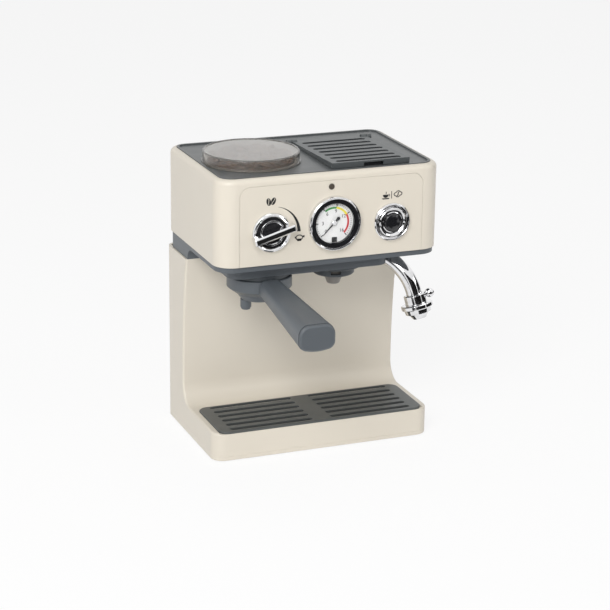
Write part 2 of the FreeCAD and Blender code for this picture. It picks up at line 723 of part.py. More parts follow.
def make_chassis():
    outer = chassis_outer()
    wall = CHASSIS_WALL
    floor_top = FLOOR_BOTTOM + wall
    room = head_outline(RIM_INSET + wall, floor_top, HEAD_BOTTOM + 1)
    under = head_outline(RIM_INSET + wall, RIM_BOTTOM - 1, FLOOR_BOTTOM)
    keep = slab(BOX_LEFT, BOX_RIGHT, BOX_FRONT, BACK, RIM_BOTTOM - 2, FLOOR_BOTTOM + 1,
                BOX_ROUND, 0)
    keep = keep.fuse(block(-HALF, HALF, COLUMN_FRONT_TOP - ARCH_RADIUS, BACK, RIM_BOTTOM - 2,
                           FLOOR_BOTTOM + 1))
    side = HALF - RIM_INSET - wall
    rear = slab(-side, side, COLUMN_FRONT_TOP + wall, BACK - RIM_INSET - wall,
                BAND_BOTTOM + wall, HEAD_BOTTOM + 1, 0, HEAD_REAR_ROUND - RIM_INSET - wall)
    box = slab(BOX_LEFT + wall, BOX_RIGHT - wall, BOX_FRONT + wall, COLUMN_FRONT_TOP,
               BAND_BOTTOM + wall, floor_top + 1, BOX_ROUND - wall, 0)
    box = box.cut(disc(WAND_NOTCH + wall, BALL_X, BALL_Y, BAND_BOTTOM - 1, floor_top))
    chassis = outer.cut(room).cut(under.cut(keep)).cut(rear).cut(box)
    lip = head_outline(SHELL_WALL + LIP_GAP, HEAD_BOTTOM - LIP_DROP, HEAD_BOTTOM + LIP_HEIGHT)
    lip = lip.cut(head_outline(SHELL_WALL + LIP_GAP + LIP_WALL, floor_top,
                               HEAD_BOTTOM + LIP_HEIGHT + 1))
    half = PANEL_WIDTH / 2 + PANEL_LEDGE + LIP_GAP
    lip = lip.cut(block(-half, half, FRONT, PANEL_BACK + LIP_GAP + 4, HEAD_BOTTOM, HEAD_TOP))
    for x, y in head_bosses():
        lip = lip.cut(disc(BOSS_RADIUS + LIP_GAP, x, y, HEAD_BOTTOM, HEAD_TOP))
    lip = lip.cut(head_outline(SHELL_WALL + LIP_GAP + LIP_WALL, HEAD_BOTTOM - 3, floor_top))
    chassis = chassis.fuse(lip)
    for x, y in head_bosses():
        chassis = chassis.fuse(disc(BOSS_RADIUS, x, y, FLOOR_BOTTOM, HEAD_BOTTOM))
    for x, y in head_bosses():
        bore = SCREW_RADIUS + SCREW_CLEARANCE
        chassis = chassis.cut(disc(bore, x, y, RIM_BOTTOM - 20, HEAD_BOTTOM + 1))
        chassis = chassis.cut(disc(SCREW_HEAD_RADIUS + 0.3, x, y, BAND_BOTTOM - 1,
                                   FLOOR_BOTTOM + SCREW_HEAD + 0.6))
    for x, y in crown_bosses():
        bore = SCREW_RADIUS + SCREW_CLEARANCE
        chassis = chassis.cut(disc(bore, x, y, BAND_BOTTOM - 1, BAND_BOTTOM + wall + 1))
    necks = [(GROUP_X, GROUP_Y), (BREW_X, BREW_Y)]
    for x, y in necks:
        chassis = chassis.cut(disc(COLLAR_NECK / 2 + SEAM, x, y, BAND_BOTTOM - 1, floor_top + 1))
    chassis = chassis.cut(disc(STUB_RADIUS + SOCKET_GAP, BALL_X, BALL_Y, RIM_BOTTOM - 1,
                               floor_top + 1))
    crown_x = HALF - CROWN_SIDE_GAP
    chassis = chassis.cut(block(-crown_x, crown_x, COLUMN_FRONT_TOP + CROWN_FRONT_GAP,
                                BACK - CROWN_BACK_GAP, BAND_BOTTOM - 1, BAND_BOTTOM + wall + 1))
    return chassis.removeSplitter()


def column_wire(inset, x, low):
    """Side outline of the column and base, drawn in by an inset, on the plane at x."""
    back = BACK - inset
    top = BAND_BOTTOM
    base_top = BASE_TOP - inset
    front = BASE_FRONT + inset
    upper = V(x, COLUMN_FRONT_TOP + inset, top)
    middle = V(x, COLUMN_FRONT_MID + inset, COLUMN_MID_Z)
    lower = V(x, COLUMN_FRONT_LOW + inset, COLUMN_LOW_Z)
    radius = COLUMN_LOW_Z - BASE_TOP + inset
    turn = math.sqrt(0.5) * radius
    centre_y = COLUMN_FRONT_LOW + inset - radius
    blend_mid = V(x, centre_y + turn, COLUMN_LOW_Z - turn)
    blend_end = V(x, centre_y, COLUMN_LOW_Z - radius)
    edges = [
        Part.makeLine(V(x, front, low), V(x, back, low)),
        Part.makeLine(V(x, back, low), V(x, back, top)),
        Part.makeLine(V(x, back, top), upper),
        Part.Arc(upper, middle, lower).toShape(),
        Part.Arc(lower, blend_mid, blend_end).toShape(),
        Part.makeLine(blend_end, V(x, front, base_top)),
        Part.makeLine(V(x, front, base_top), V(x, front, low)),
    ]
    return Part.Wire(edges)


def is_upright(edge, y):
    """True for a straight upright edge at this depth."""
    box = edge.BoundBox
    return abs(box.YMin - y) < 0.01 and abs(box.YMax - y) < 0.01 and box.ZLength > 5


def make_body_shell():
    outer = Part.Face(column_wire(0, -HALF, PLATE_TOP)).extrude(V(WIDTH, 0, 0))
    outer = outer.makeFillet(REAR_ROUND, [e for e in outer.Edges if is_upright(e, BACK)])
    outer = outer.makeFillet(BASE_ROUND, [e for e in outer.Edges if is_upright(e, BASE_FRONT)])
    edge_list = []
    for edge in outer.Edges:
        box = edge.BoundBox
        on_side = abs(abs(box.XMin) - HALF) < 0.01 and box.XLength < 0.01
        if on_side and box.YMax < BACK - 10 and box.ZMin > PLATE_TOP + 1 and box.YLength > 0.5:
            edge_list.append(edge)
    outer = outer.makeFillet(BODY_EDGE_ROUND, edge_list)
    wall = SHELL_WALL
    inner = Part.Face(column_wire(wall, -HALF + wall, PLATE_TOP - 1)).extrude(
        V(WIDTH - 2 * wall, 0, 0))
    inner = inner.makeFillet(REAR_ROUND - wall,
                             [e for e in inner.Edges if is_upright(e, BACK - wall)])
    inner = inner.makeFillet(BASE_ROUND - wall,
                             [e for e in inner.Edges if is_upright(e, BASE_FRONT + wall)])
    shell = outer.cut(inner)
    seat_z = GRATE_TOP - GRATE_THICK
    shell = shell.cut(slab(-GRATE_HALF - GRATE_GAP, GRATE_HALF + GRATE_GAP, BASE_FRONT - 9,
                           GRATE_BACK + GRATE_GAP, seat_z, GRATE_TOP + 5, 0,
                           GRATE_ROUND + GRATE_GAP))
    edge = OPENING_EDGE
    shell = shell.cut(slab(-GRATE_HALF + edge, GRATE_HALF - edge, BASE_FRONT + wall + edge,
                           GRATE_BACK - edge, PLATE_TOP + 9, BASE_TOP + 1, 6.0, 6.0))
    bore = SCREW_RADIUS + SCREW_CLEARANCE
    for x, y in plate_bosses():
        boss = disc(BOSS_RADIUS, x, y, PLATE_TOP + PLATE_LIP, BASE_TOP - 4)
        shell = shell.fuse(boss.common(outer))
        shell = shell.cut(disc(bore, x, y, PLATE_TOP, PLATE_TOP + SCREW_LENGTH + 4))
    for x, y in crown_bosses():
        boss = disc(BOSS_RADIUS, x, y, BAND_BOTTOM - 20, BAND_BOTTOM)
        shell = shell.fuse(boss.common(outer))
        shell = shell.cut(disc(bore, x, y, BAND_BOTTOM - SCREW_LENGTH - 2, BAND_BOTTOM + 1))
    half = PANEL_HALF + SEAM
    shell = shell.cut(front_plate(-half, half, BACK_LOW - SEAM, BACK_HIGH + SEAM,
                                  BACK - wall - 0.01, BACK + 1, BACK_ROUND, BACK_ROUND))
    return shell.removeSplitter()


def make_back_panel():
    wall = SHELL_WALL
    panel = front_plate(-PANEL_HALF, PANEL_HALF, BACK_LOW, BACK_HIGH, BACK - wall, BACK,
                        BACK_ROUND, BACK_ROUND)
    ledge = front_plate(-PANEL_HALF - 3, PANEL_HALF + 3, BACK_LOW - 3, BACK_HIGH + 3,
                        BACK - wall - LEDGE, BACK - wall, BACK_ROUND, BACK_ROUND)
    panel = panel.fuse(ledge)
    half, low, high = door_size()
    panel = panel.cut(front_plate(-half - SEAM, half + SEAM, low - SEAM, high + SEAM,
                                  BACK - wall - 3, BACK + 1, 3.0, 3.0))
    for ring in range(GRILLE_RINGS + 1):
        count = 6 * ring if ring else 1
        for i in range(count):
            angle = 2 * math.pi * i / count
            x = SPEAKER_X + ring * GRILLE_PITCH * math.cos(angle)
            z = SPEAKER_Z + ring * GRILLE_PITCH * math.sin(angle)
            panel = panel.cut(bar(GRILLE_HOLE, x, z, BACK - wall - 3, BACK + 1))
    reach = POWER_TAB / 2 + POWER_CLEARANCE
    tall = POWER_HEIGHT / 2 + POWER_CLEARANCE
    panel = panel.cut(block(POWER_X - reach, POWER_X + reach + POWER_TRAVEL, BACK - wall - 3,
                            BACK + 1, POWER_Z - tall, POWER_Z + tall))
    return panel.removeSplitter()


def base_outline(inset, z0, z1):
    """Slab with the outline of the base, drawn in by an inset."""
    return slab(-HALF + inset, HALF - inset, BASE_FRONT + inset, BACK - inset, z0, z1,
                max(BASE_ROUND - inset, 1.0), max(REAR_ROUND - inset, 1.0))


def foot_spots():
    """Places of the four feet."""
    x = HALF - FOOT_INSET_X
    return [(side * x, y) for side in (-1, 1)
            for y in (BASE_FRONT + FOOT_INSET_Y, BACK - FOOT_INSET_Y)]


def make_base_plate():
    plate = base_outline(0, PLATE_BOTTOM, PLATE_TOP)
    low_edges = [e for e in plate.Edges if e.BoundBox.ZMax < PLATE_BOTTOM + 0.01]
    plate = plate.makeFillet(1.2, low_edges)
    plate = plate.fuse(base_outline(SHELL_WALL + LIP_GAP, PLATE_TOP, PLATE_TOP + PLATE_LIP))
    plate = plate.cut(foot_ring(SEAM, 0, PLATE_BOTTOM + FOOT_POCKET))
    for x, y in plate_bosses():
        plate = plate.cut(disc(SCREW_RADIUS + SCREW_CLEARANCE, x, y, 0, PLATE_TOP + 3))
        plate = plate.cut(disc(SCREW_HEAD_RADIUS + 0.3, x, y, 0, PLATE_BOTTOM + SCREW_HEAD + 0.6))
    return plate.removeSplitter()


def foot_ring(gap, low, high):
    """Rubber ring under the base: four round pads joined by a strip.

    gap is added all round, for the groove it sits in.
    """
    spots = foot_spots()
    x = spots[-1][0]
    y0 = min(y for _, y in spots)
    y1 = max(y for _, y in spots)
    out = FOOT_STRIP / 2 + gap
    ring = slab(-x - out, x + out, y0 - out, y1 + out, low, high, out, out)
    ring = ring.cut(block(-x + out, x - out, y0 + out, y1 - out, low - 1, high + 1))
    for x, y in spots:
        ring = ring.fuse(disc(FOOT_RADIUS + gap, x, y, low, high))
    return ring.removeSplitter()


def make_feet():
    return foot_ring(0, 0, PLATE_BOTTOM + FOOT_POCKET)


def make_drip_pan():
    gap = OPENING_EDGE + PAN_GAP
    x = GRATE_HALF - gap
    y0 = BASE_FRONT + SHELL_WALL + gap
    y1 = GRATE_BACK - gap
    low = PLATE_TOP + PLATE_LIP
    high = GRATE_TOP - GRATE_THICK - GRATE_GAP
    pan = slab(-x, x, y0, y1, low, high, 5.0, 5.0)
    wall = PAN_WALL
    return pan.cut(slab(-x + wall, x - wall, y0 + wall, y1 - wall, low + wall, high + 1, 3.4, 3.4))


def make_drip_grate():
    front = BASE_FRONT + 0.2
    low = GRATE_TOP - GRATE_THICK
    grate = slab(-GRATE_HALF, GRATE_HALF, front, GRATE_BACK, low, GRATE_TOP, GRATE_ROUND,
                 GRATE_ROUND)
    grate = grate.makeFillet(0.8, [e for e in grate.Edges if e.BoundBox.ZMin > GRATE_TOP - 0.01])
    inner = OPENING_EDGE + PAN_GAP + PAN_WALL + GRATE_GAP
    x = GRATE_HALF - inner
    y0 = BASE_FRONT + SHELL_WALL + inner
    y1 = GRATE_BACK - inner
    skirt = slab(-x, x, y0, y1, low - GRATE_RIB_DROP, low, 3.0, 3.0)
    skirt = skirt.cut(slab(-x + 1.4, x - 1.4, y0 + 1.4, y1 - 1.4, low - GRATE_RIB_DROP - 1,
                           low, 1.6, 1.6))
    grate = grate.fuse(skirt)
    half = SLOT_WIDTH / 2
    for side in (-1, 1):
        for row in range(SLOT_ROWS):
            y = SLOT_BACK_Y - row * SLOT_PITCH
            x0 = side * (SLOT_INNER + half)
            x1 = side * (SLOT_OUTER - half)
            slot = block(min(x0, x1), max(x0, x1), y - half, y + half, low - 9, GRATE_TOP + 1)
            for x in (x0, x1):
                slot = slot.fuse(disc(half, x, y, low - 9, GRATE_TOP + 1))
            grate = grate.cut(slot)
    return grate.removeSplitter()


def make_grinder_collar():
    low = BAND_BOTTOM - COLLAR_DROP
    points = [
        (COLLAR_BORE, low), (COLLAR_RADIUS, low), (COLLAR_RADIUS, BAND_BOTTOM),
        (0.01, BAND_BOTTOM), (0.01, BAND_BOTTOM - 1.6), (COLLAR_BORE, BAND_BOTTOM - 1.6),
    ]
    collar = turned(points, GROUP_X, GROUP_Y)
    collar = collar.fuse(disc(COLLAR_NECK / 2, GROUP_X, GROUP_Y, BAND_BOTTOM - 1.6,
                              FLOOR_BOTTOM + 8))
    return collar.cut(disc(COLLAR_NECK / 2 - 2, GROUP_X, GROUP_Y, BAND_BOTTOM - 5,
                           FLOOR_BOTTOM + 9)).removeSplitter()


def make_brew_head():
    disc_low = BAND_BOTTOM - BREW_DISC_DROP
    low = BAND_BOTTOM - BREW_RING_DROP
    points = [
        (BREW_BORE, low), (BREW_RING_RADIUS - 0.8, low), (BREW_RING_RADIUS, low + 0.8),
        (BREW_RING_RADIUS, disc_low), (BREW_DISC_RADIUS - 1.0, disc_low),
        (BREW_DISC_RADIUS, disc_low + 1.0), (BREW_DISC_RADIUS, BAND_BOTTOM),
        (0.01, BAND_BOTTOM), (0.01, disc_low), (BREW_BORE, disc_low),
    ]
    head = turned(points, BREW_X, BREW_Y)
    head = head.fuse(disc(COLLAR_NECK / 2, BREW_X, BREW_Y, BAND_BOTTOM - 1.0, FLOOR_BOTTOM + 4))
    for i in range(BREW_NOTCHES):
        angle = 360.0 * i / BREW_NOTCHES + 15.0
        notch = block(BREW_BORE - 2, BREW_RING_RADIUS + 1, -BREW_NOTCH_WIDTH / 2,
                      BREW_NOTCH_WIDTH / 2, low + 2.2, disc_low)
        notch.rotate(V(0, 0, 0), V(0, 0, 1), angle)
        notch.translate(V(BREW_X, BREW_Y, 0))
        head = head.cut(notch)
    head = head.cut(disc(NIPPLE_RADIUS + 1.2, BREW_X, BREW_Y, disc_low - 1, FLOOR_BOTTOM + 9))
    return head.removeSplitter()


def make_brew_nozzle():
    top = BAND_BOTTOM - BREW_DISC_DROP
    low = BAND_BOTTOM - BREW_RING_DROP
    points = [
        (NIPPLE_RADIUS, top), (BREW_BORE - 0.6, top), (BREW_BORE - 0.6, low + 1.6),
        (NOZZLE_TOP_RADIUS, low + 1.6), (NOZZLE_TOP_RADIUS, low - 1.6),
        (NOZZLE_TIP_RADIUS + 0.6, NOZZLE_TIP_Z + 0.6), (NOZZLE_TIP_RADIUS, NOZZLE_TIP_Z),
        (NOZZLE_BORE, NOZZLE_TIP_Z), (NOZZLE_BORE, NOZZLE_TIP_Z + 6), (NIPPLE_RADIUS, low),
    ]
    return turned(points, BREW_X, BREW_Y)


def make_wand_socket():
    top = FLOOR_BOTTOM
    low = BALL_Z + SOCKET_RISE
    ring = disc(SOCKET_OUTER, BALL_X, BALL_Y, low, top)
    ring = ring.cut(Part.makeSphere(BALL_RADIUS + SOCKET_GAP, V(BALL_X, BALL_Y, BALL_Z)))
    return ring.cut(disc(STUB_RADIUS + SOCKET_GAP, BALL_X, BALL_Y, low - 1, top + 1))


def wand_frame():
    """Straight start, bend and end of the wand: points and the direction at its end."""
    heading = math.radians(WAND_HEADING)
    out = V(math.sin(heading), -math.cos(heading), 0)
    down = V(0, 0, -1)

    def along(slope):
        a = math.radians(slope)
        return out * math.cos(a) + down * math.sin(a)

    def across(slope):
        a = math.radians(slope)
        return down * math.cos(a) - out * math.sin(a)

    start = V(BALL_X, BALL_Y, BALL_Z)
    bend_start = start + along(WAND_START_SLOPE) * WAND_LEAD
    centre = bend_start + across(WAND_START_SLOPE) * WAND_BEND
    middle_slope = (WAND_START_SLOPE + WAND_END_SLOPE) / 2
    bend_middle = centre - across(middle_slope) * WAND_BEND
    bend_end = centre - across(WAND_END_SLOPE) * WAND_BEND
    axis = along(WAND_END_SLOPE)
    return start, bend_start, bend_middle, bend_end, axis


def make_steam_wand():
    start, bend_start, bend_middle, bend_end, axis = wand_frame()
    end = bend_end + axis * WAND_STRAIGHT
    path = Part.Wire([
        Part.makeLine(start, bend_start),
        Part.Arc(bend_start, bend_middle, bend_end).toShape(),
        Part.makeLine(bend_end, end),
    ])
    section = Part.Wire(Part.makeCircle(WAND_RADIUS, start, bend_start - start))
    tube = path.makePipeShell([section], True, False)
    ball = Part.makeSphere(BALL_RADIUS, start)
    stub = disc(STUB_RADIUS, BALL_X, BALL_Y, BALL_Z, STUB_TOP)
    wand = tube.fuse(ball).fuse(stub)
    return wand.removeSplitter()


def tip_turned(points):
    """Solid turned about the wand's end axis from (radius, distance along the axis) points."""
    bend_end, axis = wand_frame()[3:]
    base = bend_end + axis * WAND_STRAIGHT
    spots = [V(r, 0, s) for r, s in points]
    wire = Part.makePolygon(spots + [spots[0]])
    solid = Part.Face(wire).revolve(V(0, 0, 0), V(0, 0, 1), 360)
    turn = FreeCAD.Rotation(V(0, 0, 1), axis)
    solid.Placement = FreeCAD.Placement(base, turn)
    return solid


def make_wand_collar():
    s = TIP_COLLAR_LENGTH
    inner = WAND_RADIUS + 0.0
    back = WAND_STRAIGHT - 0.4
    return tip_turned([
        (inner, -back), (TIP_COLLAR_RADIUS - 0.8, -back), (TIP_COLLAR_RADIUS, 0.8 - back),
        (TIP_COLLAR_RADIUS, s - back), (0.01, s - back), (0.01, 0.01), (inner, 0.01),
    ])


def make_wand_nozzle():
    s0 = TIP_COLLAR_LENGTH - WAND_STRAIGHT + 0.4
    s1 = s0 + TIP_FLANGE_THICK
    s2 = s1 + TIP_STEP_LENGTH
    s3 = s2 + TIP_CONE_LENGTH
    tip = tip_turned([
        (0.01, s0), (TIP_FLANGE_RADIUS - 0.8, s0), (TIP_FLANGE_RADIUS, s0 + 0.8),
        (TIP_FLANGE_RADIUS, s1 - 0.8), (TIP_FLANGE_RADIUS - 0.8, s1), (TIP_STEP_RADIUS, s1),
        (TIP_STEP_RADIUS - 0.8, s2), (TIP_CONE_TOP, s2), (TIP_CONE_END, s3), (0.01, s3),
    ])
    bore = tip_turned([(0.001, s3 - 6), (TIP_BORE, s3 - 6), (TIP_BORE, s3 + 1), (0.001, s3 + 1)])
    return tip.cut(bore)


def make_wand_side_knob():
    bend_end, axis = wand_frame()[3:]
    base = bend_end + axis * 2.4
    side = V(0.93, -0.37, 0)
    side = side - axis * side.dot(axis)
    side.normalize()
    inner = TIP_COLLAR_RADIUS - 0.6
    stem = Part.makeCylinder(SIDE_STEM_RADIUS, SIDE_KNOB_REACH - inner, base + side * inner, side)
    ball = Part.makeSphere(SIDE_KNOB_RADIUS, base + side * SIDE_KNOB_REACH)
    knob = stem.fuse(ball)
    return knob.cut(make_wand_collar()).removeSplitter()


def make_portafilter_bowl():
    wall = BOWL_WALL
    step_z = RING_BOTTOM - BOWL_STEP_DROP
    foot_z = BOWL_FOOT_Z
    outer = [
        (0.01, foot_z), (BOWL_FOOT_RADIUS - 1.0, foot_z), (BOWL_FOOT_RADIUS, foot_z + 0.8),
        (BOWL_STEP_RADIUS - 1.4, step_z), (BOWL_STEP_RADIUS, step_z + 0.2),
        (RING_RADIUS - 1.0, RING_BOTTOM), (RING_RADIUS, RING_BOTTOM + 1.0),
        (RING_RADIUS, RING_TOP - 0.6), (RING_RADIUS - 0.6, RING_TOP), (BAYONET_RADIUS, RING_TOP),
        (BAYONET_RADIUS, RING_TOP + BAYONET_RISE), (0.01, RING_TOP + BAYONET_RISE),
    ]
    bowl = turned(outer, GROUP_X, GROUP_Y)
    bore = BAYONET_RADIUS - wall
    inner = [
        (0.001, foot_z + wall), (BOWL_FOOT_RADIUS - wall - 1, foot_z + wall),
        (BOWL_STEP_RADIUS - wall - 1.6, step_z + 1), (bore, RING_BOTTOM + 3),
        (bore, RING_TOP + BAYONET_RISE + 1), (0.001, RING_TOP + BAYONET_RISE + 1),
    ]
    bowl = bowl.cut(turned(inner, GROUP_X, GROUP_Y))
    boss = Part.makeCylinder(SOCKET_RADIUS + 1.6, 6.0, V(GROUP_X, HANDLE_ROOT_Y + 4.0,
                                                         HANDLE_ROOT_Z), V(0, -1, 0))
    boss = boss.cut(disc(RING_RADIUS - 1.6, GROUP_X, GROUP_Y, RING_BOTTOM - 20, RING_TOP + 20))
    tenon = Part.makeCylinder(TENON_RADIUS, TENON_LENGTH, V(GROUP_X, HANDLE_ROOT_Y, HANDLE_ROOT_Z),
                              V(0, -1, -handle_slope()))
    bowl = bowl.fuse(boss).fuse(tenon)
    for side in (-1, 1):
        x = GROUP_X + side * SPOUT_SPACING / 2
        bowl = bowl.cut(disc(SPOUT_BORE, x, GROUP_Y, foot_z - 1, foot_z + 9))
    return bowl.removeSplitter()


def handle_slope():
    """Fall of the handle for each millimetre towards the front."""
    return (HANDLE_ROOT_Z - HANDLE_END_Z) / (HANDLE_ROOT_Y - HANDLE_END_Y)


def handle_section(y, grow):
    """Section of the handle: flat sides and top with large rounds, bottom crowned."""
    t = (HANDLE_ROOT_Y - y) / (HANDLE_ROOT_Y - HANDLE_END_Y)
    t = max(t, 0.0)
    width = HANDLE_ROOT_WIDTH + (HANDLE_END_WIDTH - HANDLE_ROOT_WIDTH) * t + 2 * grow
    height = HANDLE_ROOT_HEIGHT + (HANDLE_END_HEIGHT - HANDLE_ROOT_HEIGHT) * t + 2 * grow
    z = HANDLE_ROOT_Z + (HANDLE_END_Z - HANDLE_ROOT_Z) * t
    half = width / 2
    top = z + height / 2
    low = z - height / 2
    r = height * 0.38
    s = r * (1 - math.sqrt(0.5))
    shoulder = low + height * 0.36
    mid = GROUP_X + HANDLE_END_SHIFT * t
    x0 = mid - half
    x1 = mid + half
    knee = half * 0.62
    dip = low + height * 0.05
    edges = [
        Part.makeLine(V(x0 + r, y, top), V(x1 - r, y, top)),
        Part.Arc(V(x1 - r, y, top), V(x1 - s, y, top - s), V(x1, y, top - r)).toShape(),
        Part.makeLine(V(x1, y, top - r), V(x1, y, shoulder)),
        Part.Arc(V(x1, y, shoulder), V(mid + half * 0.88, y, low + height * 0.14),
                 V(mid + knee, y, dip)).toShape(),
        Part.Arc(V(mid + knee, y, dip), V(mid, y, low), V(mid - knee, y, dip)).toShape(),
        Part.Arc(V(mid - knee, y, dip), V(mid - half * 0.88, y, low + height * 0.14),
                 V(x0, y, shoulder)).toShape(),
        Part.makeLine(V(x0, y, shoulder), V(x0, y, top - r)),
        Part.Arc(V(x0, y, top - r), V(x0 + s, y, top - s), V(x0 + r, y, top)).toShape(),
    ]
    return Part.Wire(edges)


def make_portafilter_handle():
    sections = [
        handle_section(HANDLE_ROOT_Y - 2.0, 0.0),
        handle_section((HANDLE_ROOT_Y + HANDLE_END_Y) / 2, 0.0),
        handle_section(HANDLE_END_Y, 0.0),
    ]
    handle = Part.makeLoft(sections, True, False)
    ring = disc(RING_RADIUS + SEAM, GROUP_X, GROUP_Y, RING_BOTTOM - 30, RING_TOP + 30)
    handle = handle.cut(ring)
    bore = Part.makeCylinder(SOCKET_RADIUS, TENON_LENGTH + 1, V(GROUP_X, HANDLE_ROOT_Y, HANDLE_ROOT_Z),
                             V(0, -1, -handle_slope()))
    boss = Part.makeCylinder(SOCKET_RADIUS + 1.6 + SEAM, 6.0, V(GROUP_X, HANDLE_ROOT_Y + 4.0,
                                                                HANDLE_ROOT_Z), V(0, -1, 0))
    return handle.cut(bore).cut(boss)


def make_handle_end_cap():
    sections = [
        handle_section(HANDLE_END_Y - CAP_SEAM, -0.5),
        handle_section(HANDLE_END_Y - CAP_SEAM - 2.0, -0.5),
        handle_section(HANDLE_END_Y - CAP_LENGTH, -2.0),
    ]
    lower = Part.makeLoft(sections[:2], True, True)
    upper = Part.makeLoft(sections[1:], True, True)
    neck = Part.makeLoft([handle_section(HANDLE_END_Y, -3.0),
                          handle_section(HANDLE_END_Y - CAP_SEAM, -3.0)], True, True)
    return lower.fuse(upper).fuse(neck).removeSplitter()


def make_filter_basket():
    wall = BASKET_WALL
    bore = BAYONET_RADIUS - BOWL_WALL
    radius = bore - BASKET_GAP
    top = RING_TOP + BAYONET_RISE
    low = RING_BOTTOM + 4.0
    points = [
        (0.01, low), (radius - 3.0, low), (radius, low + 3.0), (radius, top),
        (radius - wall, top), (radius - wall, low + 3.0), (radius - 3.0, low + wall),
        (0.01, low + wall),
    ]
    basket = turned(points, GROUP_X, GROUP_Y)
    return basket.fuse(disc(1.0, GROUP_X, GROUP_Y, low, low + wall)).removeSplitter()


def make_portafilter_spouts():
    spouts = []
    for side in (-1, 1):
        x = GROUP_X + side * SPOUT_SPACING / 2
        top = BOWL_FOOT_Z
        low = top - SPOUT_LENGTH
        points = [
            (SPOUT_BORE, top), (SPOUT_RADIUS, top), (SPOUT_RADIUS, low + SPOUT_TIP),
            (SPOUT_TIP_RADIUS, low + SPOUT_TIP), (SPOUT_TIP_RADIUS, low + 0.6),
            (SPOUT_TIP_RADIUS - 0.6, low), (SPOUT_BORE, low),
        ]
        spouts.append(turned(points, x, GROUP_Y))
    return Part.makeCompound(spouts)


def make_knob_bezel():
    y0 = FRONT
    points = [
        (KNOB_BEZEL_INNER, y0), (KNOB_BEZEL_RADIUS, y0), (KNOB_BEZEL_RADIUS, y0 - 1.4),
        (KNOB_BEZEL_RADIUS - 0.8, y0 - 2.6), (KNOB_BEZEL_RADIUS - 2.0, y0 - KNOB_BEZEL_RISE),
        (KNOB_BEZEL_INNER + 0.6, y0 - KNOB_BEZEL_RISE + 0.6), (KNOB_BEZEL_INNER, y0 - 2.0),
    ]
    return turned_front(points, KNOB_X, KNOB_Z)


def make_dose_knob():
    back = FRONT - 0.3
    face = FRONT - KNOB_FACE
    points = [
        (KNOB_SHAFT_RADIUS, back), (KNOB_RADIUS, back), (KNOB_RADIUS, face),
        (KNOB_INNER_RADIUS + 1.2, face), (KNOB_INNER_RADIUS + 0.6, face - 1.2),
        (KNOB_INNER_RADIUS - 0.6, face - 1.2), (KNOB_INNER_RADIUS - 1.6, face),
        (KNOB_SHAFT_RADIUS, face),
    ]
    knob = turned_front(points, KNOB_X, KNOB_Z)
    half = KNOB_BAR_LENGTH / 2
    wide = KNOB_BAR_WIDTH / 2
    low = FRONT - KNOB_BEZEL_RISE - KNOB_BAR_GAP
    high = FRONT - KNOB_BAR_FRONT
    beam = Part.makeBox(2 * half, low - high, 2 * wide, V(-half, high, -wide))
    beam = beam.makeChamfer(1.2, [e for e in beam.Edges if e.BoundBox.YMax < high + 0.01])
    post = bar(8.0, 0, 0, low, face)
    post = post.common(Part.makeBox(20, face - low, 2 * wide, V(-10, low, -wide)))
    beam = beam.fuse(post)
    beam.rotate(V(0, 0, 0), V(0, 1, 0), -KNOB_BAR_ANGLE)
    beam.translate(V(KNOB_X, 0, KNOB_Z))
    beam = beam.cut(bar(KNOB_SHAFT_RADIUS, KNOB_X, KNOB_Z, FRONT - 6, FRONT + 5))
    return knob.fuse(beam).removeSplitter()


def make_knob_shaft():
    tail = PANEL_BACK + KNOB_SHAFT_BACK
    shaft = bar(KNOB_SHAFT_RADIUS, KNOB_X, KNOB_Z, FRONT - 6, tail)
    detent = bar(DETENT_RADIUS, KNOB_X, KNOB_Z, PANEL_BACK + 0.3, PANEL_BACK + 0.3 + DETENT_THICK)
    return shaft.fuse(detent).removeSplitter()


def make_gauge_bezel():
    y0 = FRONT
    r1 = GAUGE_RADIUS
    r0 = GAUGE_INNER
    points = [
        (r0, y0), (r1, y0), (r1, y0 - GAUGE_RISE + 1.6), (r1 - 0.5, y0 - GAUGE_RISE + 0.5),
        (r1 - 1.2, y0 - GAUGE_RISE), (r0, y0 - GAUGE_RISE + 0.4),
    ]
    return turned_front(points, GAUGE_X, GAUGE_Z)


def make_gauge_ring():
    y0 = FRONT
    r1 = GAUGE_INNER
    r0 = GAUGE_RING_INNER
    lens_face = y0 - LENS_BACK - LENS_THICK
    points = [
        (r0, y0), (r1, y0), (r1, y0 - GAUGE_RISE + 0.6), (r1 - 0.8, y0 - GAUGE_RISE + 0.4),
        (r0 + 0.8, lens_face - 0.2), (r0 + 0.8, y0 - LENS_BACK), (r0, y0 - LENS_BACK),
    ]
    return turned_front(points, GAUGE_X, GAUGE_Z)


def make_gauge_cup():
    r1 = GAUGE_INNER - 1.2
    wall = GAUGE_CUP_WALL
    y0 = FRONT + DIAL_THICK
    y1 = FRONT_INNER + GAUGE_CUP_DEPTH
    points = [
        (ARBOR_RADIUS + ARBOR_CLEARANCE, y1 - wall), (r1 - wall, y1 - wall), (r1 - wall, y0),
        (r1, y0), (r1, y1), (ARBOR_RADIUS + ARBOR_CLEARANCE, y1),
    ]
    return turned_front(points, GAUGE_X, GAUGE_Z)


def make_gauge_dial():
    dial = bar(GAUGE_INNER - 1.2, GAUGE_X, GAUGE_Z, FRONT, FRONT + DIAL_THICK)
    return dial.cut(bar(ARBOR_RADIUS + ARBOR_CLEARANCE, GAUGE_X, GAUGE_Z, FRONT - 1, FRONT + 2))


